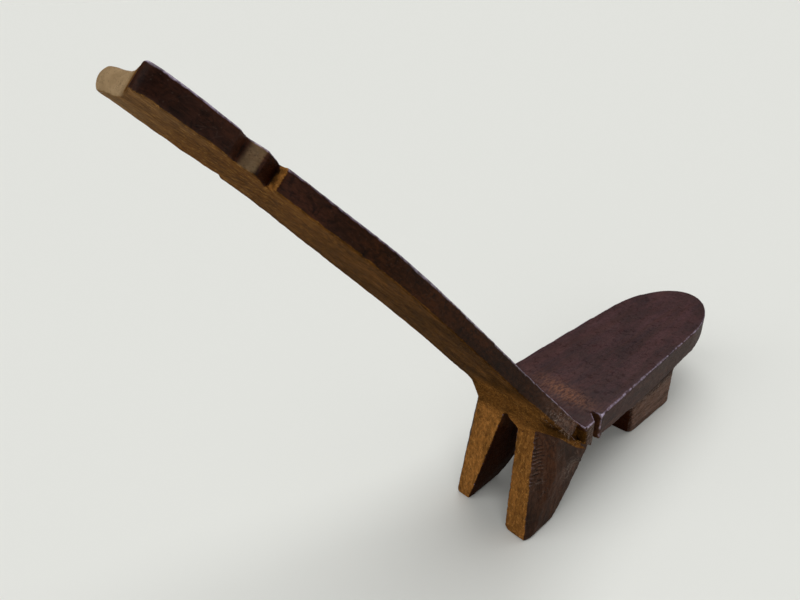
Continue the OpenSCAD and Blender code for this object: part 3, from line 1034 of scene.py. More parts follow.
@dataclass
class Ageing:
    """Grades of colour, wear, painted shade and painted highlights over the whole chair, with the places that
    it marks.
    """

    recess_sides: Span = (70.0, 73.0, 81.0, 83.5)
    recess_length: Span = (-8.0, -4.0, 21.0, 27.0)
    notch_floor: Span = (684.0, 690.0, 698.0, 702.0)
    notch_shade: Span = (690.0, 697.0, 717.0, 722.0)
    bead: Span = (720.0, 724.0, 731.0, 735.0)
    lip_length: Span = (-9.0, -4.0, 34.0, 44.0)
    groove_length: Span = (-60.0, -56.0, -20.0, -14.0)
    ridge_height: Span = (100.0, 128.0, 190.0, 212.0)
    knot: Point3 = (38.0, 52.0, 38.0)
    knot_size: float = 5.0
    scuff_place: Point2 = (22.0, 101.0)
    scuff_size: Point2 = (27.0, 17.0)
    stain_place: Point2 = (-18.0, -62.0)
    stain_size: Point2 = (52.0, 20.0)
    grime_place: Point2 = (-30.0, -270.0)
    grime_size: Point2 = (55.0, 95.0)

    @staticmethod
    def patch(first: Array, second: Array, place: Point2, size: Point2) -> Array:
        """Soft round patch.

        Args:
            first: First coordinate of every point.
            second: Second coordinate.
            place: Middle of the patch.
            size: Distance over which it fades, along each coordinate.

        Returns:
            1 in the middle, falling to 0 far away.
        """
        return np.exp(-((first - place[0]) / size[0]) ** 2 - ((second - place[1]) / size[1]) ** 2)

    def grade(self, skin: Skin) -> None:
        """Stores every zone on the skin.

        Args:
            skin: The finished skin.
        """
        lay = Survey(skin.points(), skin.normals())
        proud = skin.bend()
        skin.keep_grain(lay.grain())
        # Painted highlight: the grade of proud edges is kept only where they face up and not on the back's
        # rear, and marks where the edge highlight is painted.
        behind = lay.is_back * step_up(lay.to_rear, -0.35, 0.0)
        seen = step_up(lay.normals[:, 2], -0.45, 0.1) * (1.0 - 0.9 * behind)
        skin.keep(Zone.RUBBED, proud / 1.4 * seen)
        skin.keep(Zone.DEEP, -proud / 1.3)
        graders = {Zone.RAW: self.raw, Zone.GOLD: self.gold, Zone.PALE: self.pale, Zone.SOOT: self.soot,
                   Zone.ASH: self.ash, Zone.SEAT: self.seat_top, Zone.STAIN: self.stain,
                   Zone.GRIME: self.grime}
        for zone, grader in graders.items():
            skin.keep(zone, grader(lay))

    def recess(self, lay: Survey) -> Array:
        """Inside of the two recesses at the foot of the back."""
        x, y, z = lay.points.T
        below = np.where(y > 0.0, step_up(lay.depth, 2.5, 4.0), step_up(z, 173.0, 171.0))
        inside = between(np.abs(x), self.recess_sides) * between(y, self.recess_length)
        return inside * below * step_up(z, 138.0, 141.0)

    def scar(self, lay: Survey) -> Array:
        """Pale knot on the inner face of the left rear leg."""
        apart = lay.points - np.array(self.knot)
        return np.exp(-np.einsum("ij,ij->i", apart, apart) / self.knot_size ** 2) * (lay.points[:, 0] > 20.0)

    def notch(self, lay: Survey) -> Array:
        """Lower faces of the two sharp notches, where the neck begins."""
        return between(lay.along, self.notch_floor) * step_up(lay.to_crest, 0.15, 0.5)

    def raw(self, lay: Survey) -> Array:
        """Wood that hands never polished: rear faces and the hip under the back."""
        x, y, z = lay.points.T
        back = lay.is_back * step_up(lay.to_rear, 0.35, 0.7)
        lip = between(y, self.lip_length) * step_up(z, 172.0, 166.0) * step_up(np.abs(x), 70.0, 73.0)
        front = np.maximum(step_up(y, -6.0, 8.0), step_up(y, -30.0, -22.0) * step_up(z, 136.0, 128.0))
        reach = 10.5 * step_up(y, 66.0, 0.0)
        above = step_up(lay.above_legs + reach, -1.5, 1.5) * step_up(y, -46.0, -42.0) * (1.0 - lay.is_back)
        hip = above * np.maximum(front * step_up(lay.depth, 23.5, 26.0), lip)
        border = between(lay.depth, (22.5, 25.0, 31.0, 36.0)) * between(lay.along, (4.0, 16.0, 120.0, 170.0))
        hip = np.maximum(hip, border * step_up(y, -6.0, 8.0))
        heel = lay.is_leg * step_up(lay.normals[:, 1], 0.6, 0.85)
        under = lay.is_seat * step_up(lay.normals[:, 2], -0.3, -0.7) * 0.5
        facing = step_up(np.abs(lay.normals[:, 1]), 0.3, 0.6) * step_up(lay.normals[:, 2], 0.6, 0.3)
        groove = step_up(np.abs(x), 75.0, 78.0) * between(y, self.groove_length) * facing * 0.58
        horn = step_up(lay.along, 802.0, 808.0) * step_up(lay.to_crest, 0.5, 0.8) * step_up(x, -52.0, -34.0)
        back = back + lay.is_back * (self.notch(lay) + horn)
        return np.clip(back + hip + heel + under + groove + self.recess(lay) + self.scar(lay), 0.0, 1.0)

    def gold(self, lay: Survey) -> Array:
        """How bright the raw wood is: brightest on the heels, dullest along the blade, with painted shade on
        the hip near the plank's right edge.
        """
        x, y, z = lay.points.T
        back = 0.05 + 0.25 * step_up(lay.along, 380.0, 720.0)
        back += 0.25 * between(lay.along, (25.0, 75.0, 110.0, 190.0))
        # Painted shade: the hip's raw wood darkens near the right side, under the plank's edge.
        band = 0.29 - 0.25 * step_up(y, 96.0, 60.0) * step_up(x, -20.0, -60.0)
        heel = 0.6 + 0.25 * step_up(x, -20.0, 20.0) + 0.1 * step_up(z, 160.0, 10.0)
        gold = lay.is_back * np.maximum(back, self.notch(lay)) + band * lay.is_hip + heel * lay.is_leg
        gold += 0.15 * lay.is_seat
        gold *= 1.0 - 0.7 * lay.is_back * step_up(x, 46.0, 60.0)
        recess = self.recess(lay)
        return np.clip(gold * (1.0 - recess) + 0.4 * recess + self.scar(lay), 0.0, 1.0)

    def pale(self, lay: Survey) -> Array:
        """Tan wood on the end of the crest, the beads and the crest's rear."""
        x = lay.points[:, 0]
        end = step_up(lay.along, 796.0, 804.0) * step_up(lay.to_crest, 0.35, 0.7) * step_up(x, -26.0, 10.0)
        rear = step_up(lay.along, 730.0, 812.0) * step_up(lay.to_rear, 0.4, 0.8)
        rear = rear * (0.16 + 0.22 * step_up(x, -10.0, 40.0))
        bead = between(lay.along, self.bead) * step_up(lay.to_crest, 0.1, 0.4)
        return np.clip(end + rear + 0.42 * bead, 0.0, 1.0)

    def soot(self, lay: Survey) -> Array:
        """Painted shade: near-black colour inside the slot between the rear legs, on the rear of the front
        leg under the seat and on the notch facets that face away from the crest.
        """
        x = lay.points[:, 0]
        inner = lay.is_leg * step_up(-np.sign(x) * lay.normals[:, 0], 0.5, 0.85)
        behind = lay.is_front_leg * step_up(lay.normals[:, 1], 0.3, 0.7)
        notch = lay.is_back * between(lay.along, self.notch_shade) * step_up(lay.to_crest, -0.1, -0.35)
        return np.clip(0.72 * inner + behind + 0.8 * notch - self.scar(lay), 0.0, 1.0)

    def ash(self, lay: Survey) -> Array:
        """Grey, dry wood low on the chair: outer faces of the legs and the foot of the back; on the front leg
        it stops short of the seat, so the leg's top keeps the dark patina as painted shade of the seat.
        """
        x, y, z = lay.points.T
        sides = step_up(np.abs(lay.normals[:, 0]), 0.45, 0.8) * step_up(x * lay.normals[:, 0], 0.0, 10.0)
        # Dry grey wood is real; stopping it below the seat on the front leg paints the seat's shade on the
        # leg's top.
        low = np.maximum(step_up(z, 96.0, 62.0), step_up(y, -384.0, -402.0))
        front = lay.is_front_leg * low * (0.95 * sides + 0.6 * step_up(-lay.normals[:, 1], 0.4, 0.8))
        ridge = (1.0 - lay.cut_rows()) ** 2 * step_up(y, 78.0, 104.0) * between(z, self.ridge_height)
        ridge *= step_up(lay.cut_patches(), -0.1, 0.2)
        scuff = self.patch(y, z, self.scuff_place, self.scuff_size) * (x < 0.0)
        legs = lay.is_leg * sides * (0.15 + 0.22 * ridge + 0.17 * scuff)
        foot = lay.is_back * sides * step_up(lay.along, 200.0, 70.0) * 0.27
        knob = sides * step_up(z, 224.0, 212.0) * step_up(y, 8.0, 12.0)
        knob *= step_up(lay.depth, 29.0, 26.0) * 0.35
        tooth = lay.is_hip * sides * step_up(y, 4.0, -6.0) * 0.35
        rim = lay.is_seat * sides * 0.12
        return np.clip(front + legs + foot + knob + tooth + rim, 0.0, 1.0) * (1.0 - self.recess(lay))

    def seat_top(self, lay: Survey) -> Array:
        """Polished top of the seat and front of the back, with a painted sheen of seat colour on the crest.
        """
        top = (lay.is_seat + lay.is_hip) * step_up(lay.normals[:, 2], 0.4, 0.8)
        top = top * step_up(lay.points[:, 1], 20.0, 5.0)
        top = np.maximum(top, 0.5 * lay.is_seat * step_up(np.abs(lay.normals[:, 2]), 0.5, 0.2))
        # Painted sheen: a share of the purple seat colour on the whole crest stands in for its sheen.
        front = np.maximum(step_up(-lay.to_rear, 0.4, 0.8), 0.22 * step_up(lay.along, 560.0, 680.0))
        return np.clip(top + lay.is_back * front, 0.0, 1.0)

    def stain(self, lay: Survey) -> Array:
        """Rust-coloured stain across the rear of the seat."""
        x, y, _ = lay.points.T
        return self.seat_top(lay) * self.patch(x, y + 0.12 * x, self.stain_place, self.stain_size)

    def grime(self, lay: Survey) -> Array:
        """Dark specks where the sitter's weight pressed dirt into the seat."""
        x, y, _ = lay.points.T
        return self.seat_top(lay) * self.patch(x, y, self.grime_place, self.grime_size)


@dataclass(frozen=True)
class JointPlane:
    """Plane where two members meet, with the side that is cut away."""

    point: Point3
    outward: Point3

    def flipped(self) -> "JointPlane":
        """The same plane, keeping the other side."""
        return JointPlane(self.point, (-self.outward[0], -self.outward[1], -self.outward[2]))


def chord_plane(s: float) -> JointPlane:
    """Plane square to the chord of the back, which keeps the side of the foot."""
    run, rise = math.cos(CHORD_SLOPE), math.sin(CHORD_SLOPE)
    return JointPlane((0.0, s * run, CURVE.foot_height + s * rise), (0.0, run, rise))


@dataclass
class Log:
    """The whole carved log: it joins the members into one skin and parts them again."""

    voxel: float = 1.8
    fine_voxel: float = 1.05
    quick_voxel: float = 2.6
    hip_length: float = 118.0
    neck_length: float = 50.0
    crest_length: float = 74.0
    crumb: int = 40
    left_leg: RearLeg = field(default_factory=lambda: RearLeg(
        Side.LEFT, foot_width=30.0, foot_set=6.0, slot_x=-3.0, corner_x=45.0, bevel=56.0,
        gap_half=45.0, skew=0.157, depth=90.0, toe_height=32.0, toe_depth=9.0, foot_chamfer=0.0))
    right_leg: RearLeg = field(default_factory=lambda: RearLeg(
        Side.RIGHT, foot_width=43.0, foot_set=-1.5, slot_x=-35.0, corner_x=66.0, bevel=38.0, gap_half=41.0,
        toe_height=50.0, toe_depth=31.0))

    def planes(self) -> dict[Member, list[JointPlane]]:
        """Joint planes that bound each member."""
        crest = chord_plane(CHORD_LENGTH - self.crest_length)
        neck = chord_plane(CHORD_LENGTH - self.crest_length - self.neck_length)
        blade = chord_plane(self.hip_length)
        seat = JointPlane((0.0, SEAT_JOINT_Y, 0.0), (0.0, -1.0, 0.0))
        rise = (LEGS_REAR[1] - LEGS_LOW[1], LEGS_LOW[0] - LEGS_REAR[0])
        legs = JointPlane((0.0, *LEGS_LOW), (0.0, *rise))
        front = JointPlane((0.0, 0.0, FRONT_LEG_JOINT_Z), (0.0, 0.0, -1.0))
        middle = JointPlane((0.0, 0.0, 0.0), (1.0, 0.0, 0.0))
        return {
            Member.CREST: [crest.flipped()],
            Member.NECK: [crest, neck.flipped()],
            Member.BLADE: [neck, blade.flipped()],
            Member.HIP: [blade, seat, legs],
            Member.SEAT: [seat.flipped(), front],
            Member.RIGHT_LEG: [legs.flipped(), middle],
            Member.LEFT_LEG: [legs.flipped(), middle.flipped()],
            Member.FRONT_LEG: [seat.flipped(), front.flipped()],
        }

    def body(self) -> list[Solid]:
        """Overlapping solids of the whole chair."""
        hip = Hip()
        notches, recesses, roof = hip.notch_cutters(), hip.recess_cutters(), hip.roof_cutter()
        solids = [
            carve(Plank().build(), recesses),
            carve(hip.shoulder(), [*notches, *recesses]),
            carve(hip.rump(), [*recesses, roof]),
            hip.shoulder_fillet(),
            hip.roof_wedge(),
            SeatTongue().build(),
            self.left_leg.build(),
            self.right_leg.build(),
            FrontLeg().build(),
        ]
        for cutter in (*notches, *recesses, roof):
            cutter.free()
        return solids

    def upper_back(self) -> list[Solid]:
        """Upper stretch of the back alone, which the camera sees from close by."""
        plank = Plank().build()
        hew(plank, Vector(chord_plane(640.0).point), -Vector(chord_plane(640.0).outward))
        return [plank]

    def fuse(self, solids: Sequence[Solid], voxel: float) -> Skin:
        """Makes one skin of overlapping solids.

        Args:
            solids: Closed solids in the carver's millimetres, which are freed.
            voxel: Size of the skin's faces in millimetres.

        Returns:
            The skin.
        """
        place = Matrix.Translation((0.0, FOOT_Y * MM, 0.0)) @ Matrix.Scale(MM, 4)
        whole = bmesh.new()
        for solid in solids:
            bmesh.ops.transform(solid, matrix=place, verts=solid.verts)
            mesh = bpy.data.meshes.new("solid")
            solid.to_mesh(mesh)
            solid.free()
            whole.from_mesh(mesh)
            bpy.data.meshes.remove(mesh)
        log = to_object(whole, "log")
        remesh = log.modifiers.new("skin", "REMESH")
        remesh.mode = "VOXEL"
        remesh.voxel_size = voxel * MM
        remesh.adaptivity = 0.0
        mesh = applied(log)
        discard([log])
        return Skin(mesh, voxel)

    def skins(self) -> tuple[Skin, Skin]:
        """Skin of the whole chair and the finer skin of its upper back."""
        coarse = self.fuse(self.body(), self.voxel)
        fine = self.fuse(self.upper_back(), self.fine_voxel)
        for skin in (coarse, fine):
            HandWork().wear(skin)
            Ageing().grade(skin)
            LOG.info("skin of %.2f mm: %d points", skin.voxel, len(skin.mesh.vertices))
        return coarse, fine

    def part(self, whole: Solid, member: Member, planes: Sequence[JointPlane]) -> bpy.types.Object:
        """Cuts one member out of the log.

        Args:
            whole: The whole log, which is left as it is.
            member: The member to take.
            planes: Its joint planes.

        Returns:
            The member's object.
        """
        piece = whole.copy()
        for plane in planes:
            point = (Vector(plane.point) + Vector(FOOT)) * MM
            rim, filled = hew(piece, point, Vector(plane.outward), merge=1e-7)
            for item in (*rim, *filled):
                item.smooth = False
        self.sweep(piece)
        obj = to_object(piece, member.node + "_carved")
        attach(obj, "root")
        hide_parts(member.node)
        return obj

    def sweep(self, piece: Solid) -> None:
        """Deletes the crumbs that a joint plane leaves where the skin runs along it.

        Args:
            piece: The member, which is changed.
        """
        unseen = set(piece.verts)
        crumbs = []
        while unseen:
            front = [unseen.pop()]
            shell = []
            while front:
                vert = front.pop()
                shell.append(vert)
                near = {edge.other_vert(vert) for edge in vert.link_edges} & unseen
                unseen -= near
                front.extend(near)
            if len(shell) < self.crumb:
                crumbs.extend(shell)
        bmesh.ops.delete(piece, geom=crumbs, context="VERTS")

    def members(self) -> dict[Member, bpy.types.Object]:
        """Carves the log and parts it into its members.

        Returns:
            The object of each member.
        """
        coarse, fine = self.skins()
        pieces = {}
        for skin, wanted in ((fine, (Member.CREST, Member.NECK)),
                             (coarse, tuple(m for m in Member if m not in (Member.CREST, Member.NECK)))):
            whole = bmesh.new()
            whole.from_mesh(skin.mesh)
            for face in whole.faces:
                face.smooth = True
            for member in wanted:
                pieces[member] = self.part(whole, member, self.planes()[member])
            whole.free()
            bpy.data.meshes.remove(skin.mesh)
        return pieces


class Bench:
    """Short ways to add nodes to a tree and to wire them."""

    def __init__(self, tree: bpy.types.NodeTree) -> None:
        """Takes the tree to work on."""
        self.tree = tree

    def add(self, kind: str) -> bpy.types.Node:
        """Adds a node of a kind."""
        return self.tree.nodes.new(kind)

    def feed(self, target: Socket, source: "Socket | float | Colour | Point3") -> None:
        """Wires a source into a socket, or sets its value."""
        if isinstance(source, bpy.types.NodeSocket):
            self.tree.links.new(source, target)
        else:
            target.default_value = source

    @staticmethod
    def preset(node: bpy.types.Node, **values: float) -> None:
        """Sets inputs of a node by name, with _ for a space."""
        for label, value in values.items():
            node.inputs[label.replace("_", " ")].default_value = value

    def calc(self, operation: str, first: Socket | float, second: Socket | float = 0.0) -> Socket:
        """Does sums on two values.

        Args:
            operation: Name of Blender's operation.
            first: First value.
            second: Second value.

        Returns:
            The result.
        """
        node = self.add("ShaderNodeMath")
        node.operation = operation
        self.feed(node.inputs[0], first)
        self.feed(node.inputs[1], second)
        return node.outputs[0]

    def times(self, first: Socket | float, second: Socket | float) -> Socket:
        """Product of two values."""
        return self.calc("MULTIPLY", first, second)

    def plus(self, first: Socket | float, second: Socket | float) -> Socket:
        """Sum of two values."""
        return self.calc("ADD", first, second)

    def grade(self, value: Socket, low: float, high: float, start: float = 0.0, end: float = 1.0) -> Socket:
        """Grades a value smoothly between two levels.

        Args:
            value: Value to grade.
            low: Level that gives start.
            high: Level that gives end.
            start: Result at the low level.
            end: Result at the high level.

        Returns:
            The grade.
        """
        node = self.add("ShaderNodeMapRange")
        node.interpolation_type = "SMOOTHSTEP"
        self.feed(node.inputs["Value"], value)
        self.preset(node, From_Min=low, From_Max=high, To_Min=start, To_Max=end)
        return node.outputs["Result"]

    def blend(self, share: Socket | float, first: Socket | Colour, second: Socket | Colour,
              mode: str = "MIX") -> Socket:
        """Mixes two colours.

        Args:
            share: How much of the second colour.
            first: First colour.
            second: Second colour.
            mode: Blender's way of mixing.

        Returns:
            The mixed colour.
        """
        node = self.add("ShaderNodeMix")
        node.data_type = "RGBA"
        node.blend_type = mode
        self.feed(node.inputs[0], share)
        self.feed(node.inputs[MIX_FIRST], first)
        self.feed(node.inputs[MIX_SECOND], second)
        return node.outputs[2]

    def stretched(self, vector: Socket, scale: Point3) -> Socket:
        """Scales a vector by a different amount on each axis."""
        node = self.add("ShaderNodeVectorMath")
        node.operation = "MULTIPLY"
        self.feed(node.inputs[0], vector)
        node.inputs[1].default_value = scale
        return node.outputs[0]

    def cloud(self, vector: Socket, scale: float, detail: float = 4.0, rough: float = 0.55,
              warp: float = 0.0) -> Socket:
        """Cloudy noise.

        Args:
            vector: Where to read it.
            scale: Waves for each metre.
            detail: How many finer layers it has.
            rough: How strong they are.
            warp: How much it is distorted.

        Returns:
            The noise, from 0 to 1.
        """
        node = self.add("ShaderNodeTexNoise")
        self.feed(node.inputs["Vector"], vector)
        self.preset(node, Scale=scale, Detail=detail, Roughness=rough, Distortion=warp)
        return node.outputs[0]

    def cells(self, vector: Socket, scale: float, feature: str = "F1") -> Socket:
        """Distance pattern of scattered cells."""
        node = self.add("ShaderNodeTexVoronoi")
        node.feature = feature
        self.feed(node.inputs["Vector"], vector)
        node.inputs["Scale"].default_value = scale
        return node.outputs["Distance"]


class Effect:
    """A shared effect: a node group with named sockets."""

    def __init__(self, name: str, inputs: Sequence[tuple[str, str]], outputs: Sequence[str]) -> None:
        """Makes the group and its sockets.

        Args:
            name: Name of the group.
            inputs: Name and kind of each input.
            outputs: Name of each output, all plain values.
        """
        self.tree = bpy.data.node_groups.new(name, "ShaderNodeTree")
        for label, kind in inputs:
            self.tree.interface.new_socket(name=label, in_out="INPUT", socket_type=kind)
        for label in outputs:
            self.tree.interface.new_socket(name=label, in_out="OUTPUT", socket_type="NodeSocketFloat")
        self.bench = Bench(self.tree)
        self.source = self.bench.add("NodeGroupInput").outputs
        self.sink = self.bench.add("NodeGroupOutput").inputs

    def give(self, label: str, source: Socket) -> None:
        """Wires a value to an output of the group."""
        self.bench.feed(self.sink[label], source)

    def use(self, bench: Bench, **sources: Socket) -> Sockets:
        """Puts the effect in a material.

        Args:
            bench: Bench of the material.
            **sources: What feeds each input, with _ for a space.

        Returns:
            The outputs of the group.
        """
        node = bench.add("ShaderNodeGroup")
        node.node_tree = self.tree
        for label, source in sources.items():
            bench.feed(node.inputs[label.replace("_", " ")], source)
        return node.outputs


class Effects:
    """All shared effects of the chair's wood."""

    def __init__(self) -> None:
        """Builds every effect once."""
        self.grain = self.long_grain()
        self.patina = self.patina_clouds()
        self.tools = self.tool_marks()
        self.scratches = self.dry_scratches()
        self.edges = self.rubbed_edges_and_highlights()

    def long_grain(self) -> Effect:
        """Streaks, fibres and pores that run along the log."""
        effect = Effect("Long grain", [("Grain", "NodeSocketVector")], ["Streaks", "Fibres", "Pores"])
        bench, grain = effect.bench, effect.source["Grain"]
        broad = bench.cloud(bench.stretched(grain, (1.0, 0.055, 1.0)), 85.0, 6.0, 0.62, 0.4)
        effect.give("Streaks", bench.grade(broad, 0.33, 0.67))
        fibres = bench.cloud(bench.stretched(grain, (1.0, 0.04, 1.0)), 620.0, 4.0, 0.7, 0.2)
        effect.give("Fibres", bench.grade(fibres, 0.3, 0.7))
        pores = bench.cells(bench.stretched(grain, (1.0, 0.07, 1.0)), 520.0)
        effect.give("Pores", bench.grade(pores, 0.3, 0.12))
        return effect

    def patina_clouds(self) -> Effect:
        """Uneven darkening by smoke, oil and hands."""
        effect = Effect("Patina clouds", [("Place", "NodeSocketVector"), ("Grain", "NodeSocketVector")],
                        ["Clouds", "Blots", "Specks", "Fleck", "Mottle"])
        bench, place = effect.bench, effect.source["Place"]
        grain = bench.stretched(effect.source["Grain"], (1.0, 0.35, 1.0))
        effect.give("Clouds", bench.grade(bench.cloud(grain, 22.0, 5.0, 0.6, 0.5), 0.32, 0.68))
        effect.give("Blots", bench.grade(bench.cloud(place, 95.0, 6.0, 0.7, 0.8), 0.5, 0.66))
        effect.give("Specks", bench.grade(bench.cloud(place, 420.0, 5.0, 0.7), 0.46, 0.7))
        effect.give("Fleck", bench.grade(bench.cells(place, 210.0), 0.16, 0.06))
        effect.give("Mottle", bench.grade(bench.cloud(grain, 260.0, 5.0, 0.68, 0.3), 0.3, 0.7))
        return effect

    def tool_marks(self) -> Effect:
        """Small cuts of the adze and the torn fibres between them."""
        effect = Effect("Tool marks", [("Grain", "NodeSocketVector")], ["Facets", "Chatter", "Hairs"])
        bench, grain = effect.bench, effect.source["Grain"]
        effect.give("Facets", bench.cells(bench.stretched(grain, (1.0, 0.5, 1.0)), 150.0))
        slanted = self.turned(bench, grain, (0.5, 0.3, 0.9), (1.0, 0.22, 1.0))
        chatter = bench.cloud(slanted, 330.0, 3.0, 0.6, 0.6)
        effect.give("Chatter", bench.grade(chatter, 0.42, 0.62))
        hairs: Socket | float = 0.0
        for turn, scale in (((0.2, 0.1, 0.5), 330.0), ((-0.4, 0.5, -0.6), 290.0), ((0.6, -0.2, 1.4), 380.0)):
            edge = bench.cells(self.turned(bench, grain, turn, (1.0, 0.2, 1.0)), scale, "DISTANCE_TO_EDGE")
            gaps = bench.grade(bench.cloud(grain, scale * 0.45, 3.0, 0.6), 0.5, 0.62)
            hairs = bench.calc("MAXIMUM", hairs, bench.times(bench.grade(edge, 0.07, 0.02), gaps))
        effect.give("Hairs", hairs)
        return effect

    @staticmethod
    def turned(bench: Bench, vector: Socket, turn: Point3, scale: Point3) -> Socket:
        """Turns and stretches a vector.

        Args:
            bench: Bench of the group.
            vector: Vector to turn.
            turn: Angles in radians.
            scale: Stretch on each axis.

        Returns:
            The new vector.
        """
        node = bench.add("ShaderNodeMapping")
        node.inputs["Rotation"].default_value = turn
        node.inputs["Scale"].default_value = scale
        bench.feed(node.inputs["Vector"], vector)
        return node.outputs[0]

    def dry_scratches(self) -> Effect:
        """Thin pale scratches in three directions, with gaps."""
        effect = Effect("Dry scratches", [("Place", "NodeSocketVector")], ["Lines"])
        bench, place = effect.bench, effect.source["Place"]
        lines: Socket | float = 0.0
        for turn, scale in (((0.3, 0.2, 0.7), 120.0), ((1.1, 0.6, -0.9), 95.0), ((-0.7, 1.3, 0.2), 150.0)):
            edge = bench.cells(self.turned(bench, place, turn, (1.0, 0.22, 1.0)), scale, "DISTANCE_TO_EDGE")
            gaps = bench.grade(bench.cloud(place, scale * 0.5, 3.0), 0.53, 0.64)
            lines = bench.calc("MAXIMUM", lines, bench.times(bench.grade(edge, 0.035, 0.01), gaps))
        groups = bench.grade(bench.cloud(place, 19.0, 2.0), 0.46, 0.6, 0.12, 1.0)
        effect.give("Lines", bench.times(lines, groups))
        return effect

    def rubbed_edges_and_highlights(self) -> Effect:
        """Broken band of wear and painted highlight along proud edges, and dirt in the hollows."""
        effect = Effect("Rubbed edges", [("Rubbed", "NodeSocketFloat"), ("Deep", "NodeSocketFloat"),
                                         ("Place", "NodeSocketVector")], ["BareOrHighlit", "Dirt"])
        bench, place = effect.bench, effect.source["Place"]
        broken = bench.cloud(place, 160.0, 5.0, 0.7)
        patches = bench.grade(broken, 0.42, 0.6, 0.3, 1.0)
        effect.give("BareOrHighlit", bench.times(bench.grade(effect.source["Rubbed"], 0.42, 0.95), patches))
        dirt = bench.plus(effect.source["Deep"], bench.times(broken, 0.5))
        effect.give("Dirt", bench.grade(dirt, 0.42, 0.85))
        return effect


@dataclass(frozen=True)
class Layers:
    """What a finish is mixed from: the skin's grades and the outputs of the shared effects."""

    zones: dict[Zone, Socket]
    raw: Socket
    line: Socket
    fibre: Sockets
    cloud: Sockets
    tool: Sockets
    wear: Sockets


